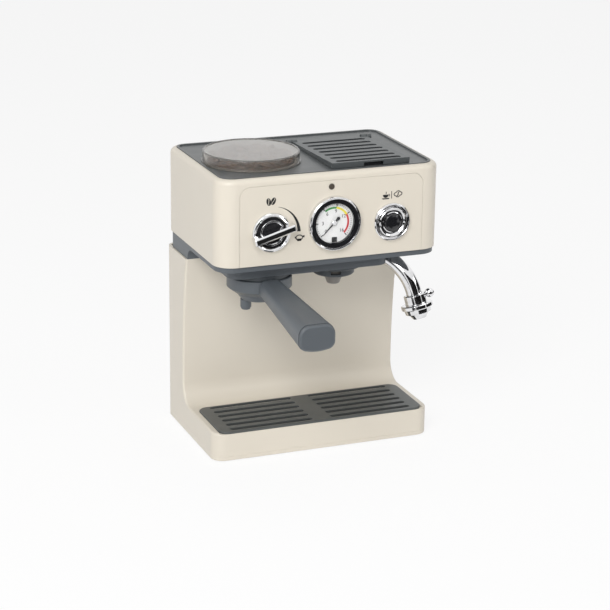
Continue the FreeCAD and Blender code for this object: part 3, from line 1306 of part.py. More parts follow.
def make_gauge_needle():
    y1 = FRONT - NEEDLE_GAP
    y0 = y1 - NEEDLE_THICK
    wide = NEEDLE_WIDTH / 2
    tail = NEEDLE_TAIL_WIDTH / 2
    spots = [
        (NEEDLE_LENGTH, 0.15), (2.0, wide), (-2.0, wide), (-NEEDLE_TAIL + 1.6, tail),
        (-NEEDLE_TAIL, 0), (-NEEDLE_TAIL + 1.6, -tail), (-2.0, -wide), (2.0, -wide),
        (NEEDLE_LENGTH, -0.15),
    ]
    points = [V(a, y0, b) for a, b in spots]
    blade = Part.Face(Part.makePolygon(points + [points[0]])).extrude(V(0, y1 - y0, 0))
    blade.rotate(V(0, 0, 0), V(0, 1, 0), -NEEDLE_ANGLE)
    blade.translate(V(GAUGE_X, 0, GAUGE_Z))
    arbor = bar(ARBOR_RADIUS, GAUGE_X, GAUGE_Z, y0, FRONT_INNER + GAUGE_CUP_DEPTH + 1)
    return blade.fuse(arbor).removeSplitter()


def make_needle_cap():
    y1 = FRONT - NEEDLE_GAP - NEEDLE_THICK
    points = [
        (0.01, y1), (HUB_RADIUS, y1), (HUB_RADIUS, y1 - 0.5), (HUB_RADIUS - 0.5, y1 - 0.9),
        (0.01, y1 - 0.9),
    ]
    cap = turned_front(points, GAUGE_X, GAUGE_Z)
    return cap.fuse(bar(0.5, GAUGE_X, GAUGE_Z, y1 - 0.9, y1)).removeSplitter()


def make_gauge_lens():
    return bar(GAUGE_RING_INNER + 0.8 - SEAM / 3, GAUGE_X, GAUGE_Z,
               FRONT - LENS_BACK - LENS_THICK, FRONT - LENS_BACK)


def make_button_bezel():
    y0 = FRONT
    rise = BUTTON_BEZEL_RISE
    r1 = BUTTON_BEZEL_RADIUS
    r2 = BUTTON_COLLAR_RADIUS
    bore = BUTTON_RADIUS + BUTTON_CLEARANCE
    points = [
        (bore, y0), (r1, y0), (r1, y0 - rise + 0.9), (r1 - 0.9, y0 - rise),
        (r1 - 1.5, y0 - rise + 0.2), (r2 + 0.8, y0 - 1.2), (r2 + 0.3, y0 - 1.6),
        (r2, y0 - BUTTON_COLLAR_RISE + 0.8), (r2 - 0.8, y0 - BUTTON_COLLAR_RISE),
        (r2 - 1.8, y0 - BUTTON_COLLAR_RISE + 0.5), (bore + 1.0, y0 - 2.4),
        (bore, y0 - 2.9),
    ]
    return turned_front(points, BUTTON_X, BUTTON_Z)


def make_push_button():
    y0 = FRONT - BUTTON_PROUD
    flange_y = FRONT + 0.1
    stem_end = FRONT_INNER + 5.8
    points = [
        (0.01, y0), (3.0, y0 + 0.2), (5.6, y0 + 0.75), (BUTTON_RADIUS - 0.8, y0 + BUTTON_DOME),
        (BUTTON_RADIUS, y0 + BUTTON_DOME + 0.9), (BUTTON_RADIUS, flange_y),
        (BUTTON_FLANGE_RADIUS, flange_y), (BUTTON_FLANGE_RADIUS, flange_y + BUTTON_FLANGE_THICK),
        (BUTTON_STEM_RADIUS, flange_y + BUTTON_FLANGE_THICK), (BUTTON_STEM_RADIUS, stem_end),
        (0.01, stem_end),
    ]
    button = turned_front(points, BUTTON_X, BUTTON_Z)
    return button.fuse(bar(1.0, BUTTON_X, BUTTON_Z, y0 + 0.3, stem_end)).removeSplitter()


def board_front():
    """Depth of the circuit board's front face."""
    return PANEL_BACK + BOARD_GAP


def board_holes():
    """Places of the four holes in the circuit board."""
    return [(x, z) for x in (BOARD_LEFT + 4, BOARD_RIGHT - 4)
            for z in (BOARD_LOW + 4, BOARD_HIGH - 4)]


def ring_piece(start, end, corner, way, radius):
    """Solid of round wire along the arc from start to end whose end tangents meet at the corner."""
    middle = (start + end) * 0.5
    half_chord = (end - start).Length / 2
    height = (corner - middle).Length
    bend = half_chord * (corner - start).Length / height
    drop = math.sqrt(bend * bend - half_chord * half_chord)
    centre = middle - (corner - middle) * (drop / height)
    axis = (start - centre).cross(end - centre)
    angle = math.degrees(2 * math.asin(half_chord / bend))
    circle = Part.Face(Part.Wire(Part.makeCircle(radius, start, way)))
    return circle.revolve(centre, axis, angle)


def coil(radius, wire, height, turns):
    """Unbroken coil of round wire up from z = 0, two tangent arcs for each quarter turn."""
    steps = 4 * turns
    climb = height / (2 * math.pi * turns)
    spots = []
    ways = []
    for i in range(steps + 1):
        angle = math.pi / 2 * i
        spots.append(V(radius * math.cos(angle), radius * math.sin(angle), climb * angle))
        ways.append(V(-radius * math.sin(angle), radius * math.cos(angle), climb).normalize())
    pieces = []
    for i in range(steps):
        chord = spots[i + 1] - spots[i]
        turn = 2 * (1 - ways[i].dot(ways[i + 1]))
        across = chord.dot(ways[i] + ways[i + 1])
        reach = (math.sqrt(across * across + turn * chord.dot(chord)) - across) / turn
        low = spots[i] + ways[i] * reach
        high = spots[i + 1] - ways[i + 1] * reach
        join = (low + high) * 0.5
        pieces.append(ring_piece(spots[i], join, low, ways[i], wire))
        pieces.append(ring_piece(join, spots[i + 1], high, (high - low).normalize(), wire))
    return pieces[0].multiFuse(pieces[1:]).removeSplitter()


def make_button_spring():
    y0 = FRONT + 0.1 + BUTTON_FLANGE_THICK + SPRING_SEAT
    y1 = board_front() - SPRING_SEAT
    spring = coil(SPRING_RADIUS, SPRING_WIRE, y1 - y0 - 2 * SPRING_WIRE, SPRING_TURNS)
    spring.rotate(V(0, 0, 0), V(1, 0, 0), -90)
    spring.translate(V(BUTTON_X, y0 + SPRING_WIRE, BUTTON_Z))
    return spring


def make_button_switch():
    half = SWITCH_SIZE / 2
    y1 = board_front()
    y0 = FRONT_INNER + 5.8 + BUTTON_TRAVEL + 0.2
    body = block(BUTTON_X - half * 0.7, BUTTON_X + half * 0.7, y0 + 0.8, y1,
                 BUTTON_Z - half * 0.7, BUTTON_Z + half * 0.7)
    return body.fuse(bar(1.6, BUTTON_X, BUTTON_Z, y0, y0 + 1)).removeSplitter()


def make_indicator_lens():
    lens = bar(LED_RADIUS, LED_X, LED_Z, FRONT - LED_PROUD, PANEL_BACK)
    lens = lens.makeFillet(0.6, [e for e in lens.Edges if e.BoundBox.YMax < FRONT - 0.5])
    return lens.fuse(bar(LED_RADIUS + 1.0, LED_X, LED_Z, PANEL_BACK, PANEL_BACK + 1))


def make_indicator_led():
    y0 = PANEL_BACK + 1.2
    led = bar(1.5, LED_X, LED_Z, y0, y0 + 4.5)
    for dx in (-0.8, 0.8):
        led = led.fuse(bar(0.3, LED_X + dx, LED_Z, y0 + 4.0, board_front()))
    return led.removeSplitter()


def make_circuit_board():
    y0 = board_front()
    board = block(BOARD_LEFT, BOARD_RIGHT, y0, y0 + BOARD_THICK, BOARD_LOW, BOARD_HIGH)
    for x, z in board_holes():
        board = board.cut(bar(BOARD_PIN + 0.1, x, z, y0 - 1, y0 + 3))
    chip_y = y0 + BOARD_THICK
    chip = block(CHIP_X, CHIP_X + CHIP_SIZE, chip_y, chip_y + CHIP_THICK, CHIP_Z, CHIP_Z + CHIP_SIZE)
    return board.fuse(chip).removeSplitter()


def door_size():
    """Half width, low edge and high edge of the battery door."""
    half = CELL_LENGTH / 2 + BOX_WALL + DOOR_MARGIN
    low = CELL_LOW_Z - CELL_RADIUS - BOX_WALL - DOOR_MARGIN
    high = CELL_LOW_Z + (CELL_COUNT - 1) * CELL_PITCH + CELL_RADIUS + BOX_WALL + DOOR_MARGIN
    return half, low, high


def make_battery_box():
    half = CELL_LENGTH / 2 + 3.0
    low = CELL_LOW_Z - CELL_RADIUS - 0.6
    high = CELL_LOW_Z + (CELL_COUNT - 1) * CELL_PITCH + CELL_RADIUS + 0.6
    y1 = BACK - SHELL_WALL - LEDGE
    y0 = y1 - 2 * CELL_RADIUS - 1.2
    wall = BOX_WALL
    box = block(-half - wall, half + wall, y0 - wall, y1, low - wall, high + wall)
    flange = block(-half - 14, half + 14, y1 - 1.6, y1, low - 16, high + 16)
    boss = bar(BOX_BOSS, 0, door_size()[2] - DOOR_SCREW_DROP, y0, BACK - SHELL_WALL)
    box = box.fuse(flange).fuse(boss).cut(block(-half, half, y0, y1 + 1, low, high))
    bore = SCREW_RADIUS + SCREW_CLEARANCE
    return box.cut(bar(bore, 0, door_size()[2] - DOOR_SCREW_DROP, y0 - 1, BACK))


def cell_centre_y():
    """Depth of the middle of the battery cells."""
    return BACK - SHELL_WALL - LEDGE - 0.6 - CELL_RADIUS


def make_batteries():
    cells = []
    for i in range(CELL_COUNT):
        z = CELL_LOW_Z + i * CELL_PITCH
        way = 1 if i % 2 == 0 else -1
        start = V(-way * CELL_LENGTH / 2, cell_centre_y(), z)
        cell = Part.makeCylinder(CELL_RADIUS - 0.1, CELL_LENGTH - 1.4, start, V(way, 0, 0))
        tip = Part.makeCylinder(2.6, 1.4, V(way * (CELL_LENGTH / 2 - 1.4), cell_centre_y(), z),
                                V(way, 0, 0))
        cells.append(cell.fuse(tip).removeSplitter())
    return Part.makeCompound(cells)


def make_battery_contacts():
    plates = []
    gap = 3.0
    for i in range(CELL_COUNT):
        z = CELL_LOW_Z + i * CELL_PITCH
        y = cell_centre_y()
        for side in (-1, 1):
            inner = side * (CELL_LENGTH / 2 + 0.1)
            outer = side * (CELL_LENGTH / 2 + gap)
            x0 = min(inner, outer)
            x1 = max(inner, outer)
            plates.append(block(x0, x1, y - 4, y + 4, z - 4, z + 4))
    return Part.makeCompound(plates)


def make_battery_door():
    half, low, high = door_size()
    door = front_plate(-half, half, low, high, BACK - SHELL_WALL, BACK, 3.0, 3.0)
    for i in range(5):
        z = low + 12.0 + i * 2.4
        door = door.cut(block(-12.0, 12.0, BACK - 0.5, BACK + 1, z, z + 1.0))
    door = door.cut(bar(SCREW_RADIUS + SCREW_CLEARANCE, 0, high - DOOR_SCREW_DROP, BACK - 9, BACK + 1))
    return door.cut(bar(SCREW_HEAD_RADIUS + 0.2, 0, high - DOOR_SCREW_DROP, BACK - SCREW_HEAD, BACK + 1))


def make_battery_door_screw():
    high = door_size()[2]
    head = bar(SCREW_HEAD_RADIUS, 0, high - DOOR_SCREW_DROP, BACK - SCREW_HEAD, BACK - 0.2)
    shank = bar(SCREW_RADIUS, 0, high - DOOR_SCREW_DROP, BACK - 8.0, BACK - SCREW_HEAD)
    z = high - DOOR_SCREW_DROP
    cross = block(-1.6, 1.6, BACK - 0.8, BACK, z - 0.35, z + 0.35)
    cross = cross.fuse(block(-0.35, 0.35, BACK - 0.8, BACK, z - 1.6, z + 1.6))
    return head.fuse(shank).cut(cross)


def make_speaker():
    y1 = BACK - SHELL_WALL - LEDGE
    points = [
        (0.01, y1 - SPEAKER_DEPTH), (9.0, y1 - SPEAKER_DEPTH), (9.0, y1 - 4.5),
        (SPEAKER_RADIUS, y1 - 2.0), (SPEAKER_RADIUS, y1), (SPEAKER_RADIUS - 2.0, y1),
        (SPEAKER_RADIUS - 3.0, y1 - 1.2), (4.0, y1 - 3.4), (0.01, y1 - 2.6),
    ]
    speaker = turned_front(points, SPEAKER_X, SPEAKER_Z)
    return speaker.fuse(bar(1.0, SPEAKER_X, SPEAKER_Z, y1 - SPEAKER_DEPTH, y1 - 2.8))


def make_power_switch():
    half = POWER_TAB / 2
    tall = POWER_HEIGHT / 2
    y0 = BACK - SHELL_WALL - LEDGE - POWER_CLEARANCE
    tab = block(POWER_X - half, POWER_X + half, y0, BACK + POWER_PROUD, POWER_Z - tall,
                POWER_Z + tall)
    back_plate = block(POWER_X - half - 5.0, POWER_X + half + 5.0, y0 - 1.4, y0, POWER_Z - tall - 1.5,
                       POWER_Z + tall + 1.5)
    return tab.fuse(back_plate).removeSplitter()


def make_power_switch_body():
    wide = POWER_TAB / 2 + 5.0 + POWER_TRAVEL + 0.5
    mid = POWER_X
    tall = POWER_HEIGHT / 2 + 2.5
    y1 = BACK - SHELL_WALL - LEDGE
    face = y1 - POWER_CLEARANCE - 1.4 - 0.3
    body = block(mid - wide, mid + wide, face - 6.0, face, POWER_Z - tall, POWER_Z + tall)
    for side in (-1, 1):
        x0 = mid + side * wide
        x1 = mid + side * (wide + 1.6)
        body = body.fuse(block(min(x0, x1), max(x0, x1), face - 6.0, y1, POWER_Z - tall,
                               POWER_Z + tall))
    return body.removeSplitter()


def make_pump_bracket():
    z0 = PUMP_TOP - PUMP_HEIGHT - 18.0
    z1 = z0 + BRACKET_HEIGHT
    ring = disc(MOTOR_RADIUS + 2.4, PUMP_X, PUMP_Y, z0, z1)
    arm = block(PUMP_X - 10.0, PUMP_X - 1.0, PUMP_Y, BACK - SHELL_WALL - LEDGE, z0, z1)
    return ring.fuse(arm).cut(disc(MOTOR_RADIUS, PUMP_X, PUMP_Y, z0 - 1, z1 + 1)).removeSplitter()


def make_pump_body():
    pump = disc(PUMP_RADIUS, PUMP_X, PUMP_Y, PUMP_TOP - PUMP_HEIGHT, PUMP_TOP)
    inlet = disc(NIPPLE_RADIUS, PUMP_X, PUMP_Y, PUMP_TOP, PUMP_TOP + NIPPLE_LENGTH)
    outlet_z = PUMP_TOP - PUMP_HEIGHT / 2
    outlet = Part.makeCylinder(NIPPLE_RADIUS, PUMP_RADIUS + NIPPLE_LENGTH,
                               V(PUMP_X, PUMP_Y, outlet_z), V(-1, 0, 0))
    return pump.fuse(inlet).fuse(outlet).removeSplitter()


def make_pump_motor():
    top = PUMP_TOP - PUMP_HEIGHT
    motor = disc(MOTOR_RADIUS, PUMP_X, PUMP_Y, top - MOTOR_HEIGHT, top)
    return motor.fuse(disc(3.5, PUMP_X, PUMP_Y, top - MOTOR_HEIGHT - 2, top)).removeSplitter()


def hose(points, bend):
    """Tube along straight runs joined by tangent arcs."""
    edges = []
    last = points[0]
    for i in range(1, len(points) - 1):
        corner = points[i]
        into = (corner - points[i - 1]).normalize()
        out = (points[i + 1] - corner).normalize()
        turn = into.getAngle(out)
        back = bend * math.tan(turn / 2)
        start = corner - into * back
        end = corner + out * back
        inward = (out - into).normalize()
        centre = corner + inward * (bend / math.cos(turn / 2))
        middle = centre - inward * bend
        edges.append(Part.makeLine(last, start))
        edges.append(Part.Arc(start, middle, end).toShape())
        last = end
    edges.append(Part.makeLine(last, points[-1]))
    path = Part.Wire(edges)
    way = points[1] - points[0]
    outer = Part.Wire(Part.makeCircle(HOSE_RADIUS, points[0], way))
    inner = Part.Wire(Part.makeCircle(HOSE_BORE, points[0], way))
    tube = path.makePipeShell([outer], True, False)
    return tube.cut(path.makePipeShell([inner], True, False))


def make_suction_hose():
    return hose([
        V(PUMP_X, OUTLET_Y, TANK_BOTTOM - HOSE_GAP),
        V(PUMP_X, OUTLET_Y, TANK_BOTTOM - HOSE_DROP),
        V(PUMP_X, PUMP_Y, PUMP_TOP + HOSE_RISE),
        V(PUMP_X, PUMP_Y, PUMP_TOP + HOSE_GAP),
    ], HOSE_BEND)


def make_delivery_hose():
    outlet_z = PUMP_TOP - PUMP_HEIGHT / 2
    return hose([
        V(PUMP_X - PUMP_RADIUS - 0.6, PUMP_Y, outlet_z),
        V(BREW_X - HOSE_ASIDE, PUMP_Y, outlet_z),
        V(BREW_X - HOSE_ASIDE, PUMP_Y, HOSE_CREST),
        V(BREW_X, BREW_Y + HOSE_BEHIND, HOSE_CREST),
        V(BREW_X, BREW_Y, HOSE_CREST),
        V(BREW_X, BREW_Y, BAND_BOTTOM + 2.0),
    ], HOSE_BEND)


def make_housing_screws():
    screws = []
    for x, y in head_bosses():
        screws.append(screw(x, y, FLOOR_BOTTOM + SCREW_HEAD + 0.6, True))
    for x, y in plate_bosses():
        screws.append(screw(x, y, PLATE_BOTTOM + SCREW_HEAD + 0.6, True))
    for x, y in crown_bosses():
        screws.append(screw(x, y, BAND_BOTTOM + CHASSIS_WALL, False))
    return Part.makeCompound(screws)


MAKERS = {
    "head_cover": make_head_cover,
    "front_panel": make_front_panel,
    "top_tray": make_top_tray,
    "hopper_bowl": make_hopper_bowl,
    "bean_bed": make_bean_bed,
    "hopper_cover": make_hopper_cover,
    "tank_lid": make_tank_lid,
    "lid_hinge_pins": make_lid_hinge_pins,
    "water_tank": make_water_tank,
    "chassis": make_chassis,
    "body_shell": make_body_shell,
    "back_panel": make_back_panel,
    "base_plate": make_base_plate,
    "feet": make_feet,
    "drip_pan": make_drip_pan,
    "drip_grate": make_drip_grate,
    "grinder_collar": make_grinder_collar,
    "brew_head": make_brew_head,
    "brew_nozzle": make_brew_nozzle,
    "wand_socket": make_wand_socket,
    "steam_wand": make_steam_wand,
    "wand_collar": make_wand_collar,
    "wand_nozzle": make_wand_nozzle,
    "wand_side_knob": make_wand_side_knob,
    "portafilter_bowl": make_portafilter_bowl,
    "filter_basket": make_filter_basket,
    "portafilter_spouts": make_portafilter_spouts,
    "portafilter_handle": make_portafilter_handle,
    "handle_end_cap": make_handle_end_cap,
    "knob_bezel": make_knob_bezel,
    "dose_knob": make_dose_knob,
    "knob_shaft": make_knob_shaft,
    "gauge_bezel": make_gauge_bezel,
    "gauge_ring": make_gauge_ring,
    "gauge_cup": make_gauge_cup,
    "gauge_dial": make_gauge_dial,
    "gauge_needle": make_gauge_needle,
    "needle_cap": make_needle_cap,
    "gauge_lens": make_gauge_lens,
    "button_bezel": make_button_bezel,
    "push_button": make_push_button,
    "button_spring": make_button_spring,
    "button_switch": make_button_switch,
    "indicator_lens": make_indicator_lens,
    "indicator_led": make_indicator_led,
    "circuit_board": make_circuit_board,
    "battery_box": make_battery_box,
    "batteries": make_batteries,
    "battery_contacts": make_battery_contacts,
    "battery_door": make_battery_door,
    "battery_door_screw": make_battery_door_screw,
    "speaker": make_speaker,
    "power_switch": make_power_switch,
    "power_switch_body": make_power_switch_body,
    "pump_bracket": make_pump_bracket,
    "pump_body": make_pump_body,
    "pump_motor": make_pump_motor,
    "suction_hose": make_suction_hose,
    "delivery_hose": make_delivery_hose,
    "housing_screws": make_housing_screws,
}

os.makedirs("parts", exist_ok=True)
for node, maker in MAKERS.items():
    export(node, maker())
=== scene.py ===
"""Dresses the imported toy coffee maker: finishes, printed signs, dial print, play beans and studio.

Everything is in metres in the part's own frame: X to the right, Y to the back, Z up.
"""

import logging
import math
import random
from dataclasses import dataclass, field
from enum import Enum

import bmesh
import bpy
from mathutils import Matrix, Vector


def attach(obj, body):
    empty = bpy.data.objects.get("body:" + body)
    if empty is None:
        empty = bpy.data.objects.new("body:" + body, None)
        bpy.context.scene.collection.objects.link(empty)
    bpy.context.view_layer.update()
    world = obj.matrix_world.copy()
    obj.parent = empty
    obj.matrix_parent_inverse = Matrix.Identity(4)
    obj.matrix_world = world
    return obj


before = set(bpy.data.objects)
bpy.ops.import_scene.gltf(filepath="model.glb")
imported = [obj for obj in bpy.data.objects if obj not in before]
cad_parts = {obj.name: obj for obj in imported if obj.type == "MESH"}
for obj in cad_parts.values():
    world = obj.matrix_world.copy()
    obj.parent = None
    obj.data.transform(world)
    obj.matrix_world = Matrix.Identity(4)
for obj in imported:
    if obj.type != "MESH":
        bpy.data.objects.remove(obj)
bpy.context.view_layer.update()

LOG = logging.getLogger("toy_coffee_maker")
MM = 0.001
GOLDEN_ANGLE = math.pi * (3 - math.sqrt(5))
FLOOR_GLOW = 1.03
FLOOR_GLOW_SHARE = 0.82
Colour = tuple[float, float, float]
Spot = tuple[float, float]
Value = bpy.types.NodeSocket | float | Colour


class Body(Enum):
    """Moving bodies of the part that carry pieces of this scene."""

    MACHINE = "machine"


class Effect(Enum):
    """Shared shader node groups."""

    GRAIN = "moulded_grain"
    EDGE = "soft_edge"
    DUST = "settled_dust"
    SMUDGE = "finger_smudges"


class Graph:
    """Short ways to add and join shader nodes in one node tree."""

    def __init__(self, tree: bpy.types.NodeTree) -> None:
        """Keep the tree that nodes are added to."""
        self.tree = tree

    def node(self, kind: str, **settings: object) -> bpy.types.Node:
        """Add a node.

        Args:
            kind: Node type name.
            settings: Properties to set on it.

        Returns:
            The new node.
        """
        made = self.tree.nodes.new(kind)
        for key, setting in settings.items():
            setattr(made, key, setting)
        return made

    def put(self, socket: bpy.types.NodeSocket, value: Value) -> None:
        """Link or set an input.

        Args:
            socket: Input to fill.
            value: An output to link, or a constant to set.
        """
        if isinstance(value, bpy.types.NodeSocket):
            self.tree.links.new(value, socket)
        elif isinstance(value, tuple) and len(socket.default_value) == 4:
            socket.default_value = (*value, 1.0)
        else:
            socket.default_value = value

    def math(self, operation: str, first: Value, second: Value = 0.0, clamp: bool = False,
             third: Value | None = None) -> bpy.types.NodeSocket:
        """Do arithmetic on two values.

        Args:
            operation: Math node operation.
            first: First value.
            second: Second value.
            clamp: Keep the result between 0 and 1.
            third: Third value, where the operation takes one.

        Returns:
            The result.
        """
        made = self.node("ShaderNodeMath", operation=operation, use_clamp=clamp)
        self.put(made.inputs[0], first)
        self.put(made.inputs[1], second)
        if third is not None:
            self.put(made.inputs[2], third)
        return made.outputs[0]

    def seen_plainly(self) -> bpy.types.NodeSocket:
        """Give 1 for rays of the camera, of reflections and through clear pieces, and 0 for light."""
        path = self.node("ShaderNodeLightPath")
        bounced = self.math("MAXIMUM", path.outputs["Is Glossy Ray"], path.outputs["Is Transmission Ray"])
        return self.math("MAXIMUM", path.outputs["Is Camera Ray"], bounced)

    def span(self, value: Value, low: float, high: float,
             out_low: Value = 0.0, out_high: Value = 1.0) -> bpy.types.NodeSocket:
        """Map a value from one range to another, smoothly and clamped.

        Args:
            value: Value to map.
            low: Start of the range read.
            high: End of the range read.
            out_low: Result at the start.
            out_high: Result at the end.

        Returns:
            The mapped value.
        """
        made = self.node("ShaderNodeMapRange", interpolation_type="SMOOTHSTEP")
        for socket, number in zip(made.inputs[:5], (value, low, high, out_low, out_high)):
            self.put(socket, number)
        return made.outputs[0]

    def mix(self, share: Value, first: Value, second: Value) -> bpy.types.NodeSocket:
        """Blend two colours.

        Args:
            share: Share of the second colour.
            first: First colour.
            second: Second colour.

        Returns:
            The blended colour.
        """
        made = self.node("ShaderNodeMix", data_type="RGBA")
        self.put(made.inputs[0], share)
        self.put(made.inputs[6], first)
        self.put(made.inputs[7], second)
        return made.outputs[2]

    def noise(self, scale: Value, detail: float = 3.0) -> bpy.types.NodeSocket:
        """Make noise that is fixed to the piece.

        Args:
            scale: Waves in a metre.
            detail: Octaves.

        Returns:
            The noise value.
        """
        place = self.node("ShaderNodeTexCoord")
        made = self.node("ShaderNodeTexNoise")
        self.put(made.inputs["Vector"], place.outputs["Object"])
        self.put(made.inputs["Scale"], scale)
        self.put(made.inputs["Detail"], detail)
        return made.outputs[0]

    def place(self) -> tuple[bpy.types.NodeSocket, bpy.types.NodeSocket, bpy.types.NodeSocket]:
        """Return the piece's own X, Y and Z."""
        coordinates = self.node("ShaderNodeTexCoord")
        split = self.node("ShaderNodeSeparateXYZ")
        self.put(split.inputs[0], coordinates.outputs["Object"])
        return split.outputs[0], split.outputs[1], split.outputs[2]


class EffectShelf:
    """Builds each shared node group once and places it in materials."""

    def __init__(self) -> None:
        """Build the groups."""
        self.groups = {
            Effect.GRAIN: self.grain(),
            Effect.EDGE: self.edge(),
            Effect.DUST: self.dust(),
            Effect.SMUDGE: self.smudge(),
        }

    @staticmethod
    def start(effect: Effect, inputs: dict[str, float],
              outputs: dict[str, str]) -> tuple[Graph, bpy.types.Node, bpy.types.Node]:
        """Open a new group with named sockets.

        Args:
            effect: Which group.
            inputs: Input names with their defaults.
            outputs: Output names with their socket types.

        Returns:
            The graph, its input node and its output node.
        """
        tree = bpy.data.node_groups.new(effect.value, "ShaderNodeTree")
        for name, default in inputs.items():
            socket = tree.interface.new_socket(name, in_out="INPUT", socket_type="NodeSocketFloat")
            socket.default_value = default
        for name, kind in outputs.items():
            tree.interface.new_socket(name, in_out="OUTPUT", socket_type=kind)
        graph = Graph(tree)
        return graph, graph.node("NodeGroupInput"), graph.node("NodeGroupOutput")

    def grain(self) -> bpy.types.NodeTree:
        """Fine moulded texture with a slow change of tone."""
        graph, given, made = self.start(
            Effect.GRAIN,
            {"Scale": 2600.0, "Tone": 0.03, "Rough": 0.05},
            {"Tone": "NodeSocketFloat", "Rough": "NodeSocketFloat", "Height": "NodeSocketFloat"},
        )
        fine = graph.noise(given.outputs["Scale"], 2.0)
        slow = graph.noise(14.0, 2.0)
        flow = graph.noise(55.0, 3.0)
        swing = graph.math("SUBTRACT", slow, 0.5)
        graph.put(made.inputs["Tone"], graph.math("MULTIPLY_ADD", swing, given.outputs["Tone"], third=1.0))
        drift = graph.math("MULTIPLY", graph.math("SUBTRACT", flow, 0.5), given.outputs["Rough"])
        graph.put(made.inputs["Rough"], drift)
        graph.put(made.inputs["Height"], fine)
        return graph.tree

    def edge(self) -> bpy.types.NodeTree:
        """Rounded look of moulded edges and a patchy measure of how far each edge bends, which places a
        painted highlight along the edges.
        """
        graph, given, made = self.start(
            Effect.EDGE,
            {"Radius": 0.0005},
            {"Normal": "NodeSocketVector", "Mask": "NodeSocketFloat"},
        )
        bevel = graph.node("ShaderNodeBevel", samples=6)
        graph.put(bevel.inputs["Radius"], given.outputs["Radius"])
        true = graph.node("ShaderNodeNewGeometry")
        dot = graph.node("ShaderNodeVectorMath", operation="DOT_PRODUCT")
        graph.put(dot.inputs[0], bevel.outputs[0])
        graph.put(dot.inputs[1], true.outputs["Normal"])
        bent = graph.math("SUBTRACT", 1.0, dot.outputs["Value"])
        patchy = graph.span(graph.noise(90.0), 0.35, 0.65, 0.25, 1.0)
        graph.put(made.inputs["Mask"], graph.math("MULTIPLY", graph.span(bent, 0.01, 0.25), patchy))
        graph.put(made.inputs["Normal"], bevel.outputs[0])
        return graph.tree

    def dust(self) -> bpy.types.NodeTree:
        """Faint dust where a face looks up."""
        graph, given, made = self.start(
            Effect.DUST, {"Amount": 0.1}, {"Mask": "NodeSocketFloat"}
        )
        facing = graph.node("ShaderNodeNewGeometry")
        split = graph.node("ShaderNodeSeparateXYZ")
        graph.put(split.inputs[0], facing.outputs["Normal"])
        upward = graph.span(split.outputs[2], 0.5, 0.95)
        clouds = graph.span(graph.noise(60.0, 5.0), 0.35, 0.75)
        lying = graph.math("MULTIPLY", upward, clouds)
        graph.put(made.inputs["Mask"], graph.math("MULTIPLY", lying, given.outputs["Amount"]))
        return graph.tree

    def smudge(self) -> bpy.types.NodeTree:
        """Slow change of gloss that handling leaves on metal and clear plastic."""
        graph, given, made = self.start(
            Effect.SMUDGE, {"Base": 0.06, "Extra": 0.05}, {"Rough": "NodeSocketFloat"}
        )
        patches = graph.span(graph.noise(120.0, 4.0), 0.4, 0.7)
        extra = graph.math("MULTIPLY", patches, given.outputs["Extra"])
        graph.put(made.inputs["Rough"], graph.math("ADD", extra, given.outputs["Base"]))
        return graph.tree

    def use(self, graph: Graph, effect: Effect, **values: float) -> bpy.types.Node:
        """Place a group in a material.

        Args:
            graph: Graph of the material.
            effect: Which group.
            values: Its inputs, by name.

        Returns:
            The group node.
        """
        made = graph.node("ShaderNodeGroup", node_tree=self.groups[effect])
        for name, number in values.items():
            made.inputs[name].default_value = number
        return made


def new_material(name: str) -> tuple[bpy.types.Material, Graph, bpy.types.Node]:
    """Start a material.

    Args:
        name: Its name.

    Returns:
        The material, its graph and its Principled shader.
    """
    material = bpy.data.materials.new(name)
    material.use_nodes = True
    graph = Graph(material.node_tree)
    return material, graph, material.node_tree.nodes["Principled BSDF"]


@dataclass(frozen=True)
class MouldedPlastic:
    """Injection moulded plastic with fine texture, a painted highlight along its edges and a little dust."""

    name: str
    colour: Colour
    roughness: float = 0.4
    grain_scale: float = 2600.0
    grain_depth: float = 0.00002
    tone: float = 0.05
    edge_radius: float = 0.0005
    edge_highlight_share: float = 0.12
    dust: float = 0.0
    coat: float = 0.0
    gloss: float = 0.5

    def build(self, effects: EffectShelf) -> bpy.types.Material:
        """Make the material.

        Args:
            effects: Shared node groups.

        Returns:
            The material.
        """
        material, graph, shader = new_material(self.name)
        grain = effects.use(graph, Effect.GRAIN, Scale=self.grain_scale, Tone=self.tone, Rough=0.10)
        edge = effects.use(graph, Effect.EDGE, Radius=self.edge_radius)
        tinted = graph.node("ShaderNodeVectorMath", operation="SCALE")
        tinted.inputs[0].default_value = self.colour
        graph.put(tinted.inputs["Scale"], grain.outputs["Tone"])
        # Painted highlight: a lighter tint of the colour is mixed in along the edges, placed by the soft edge
        # group.
        lighter = tuple(min(1.0, c * 1.25 + 0.03) for c in self.colour)
        painted_edge_highlight = graph.math("MULTIPLY", edge.outputs["Mask"], self.edge_highlight_share)
        colour = graph.mix(painted_edge_highlight, tinted.outputs[0], lighter)
        if self.dust:
            dust = effects.use(graph, Effect.DUST, Amount=self.dust)
            colour = graph.mix(dust.outputs["Mask"], colour, (0.5, 0.48, 0.45))
        graph.put(shader.inputs["Base Color"], colour)
        graph.put(shader.inputs["Roughness"], graph.math("ADD", grain.outputs["Rough"], self.roughness, True))
        shader.inputs["Coat Weight"].default_value = self.coat
        shader.inputs["Coat Roughness"].default_value = 0.12
        shader.inputs["Specular IOR Level"].default_value = self.gloss
        bump = graph.node("ShaderNodeBump")
        bump.inputs["Distance"].default_value = self.grain_depth
        bump.inputs["Strength"].default_value = 1.0
        graph.put(bump.inputs["Height"], grain.outputs["Height"])
        graph.put(bump.inputs["Normal"], edge.outputs["Normal"])
        graph.put(shader.inputs["Normal"], bump.outputs[0])
        return material


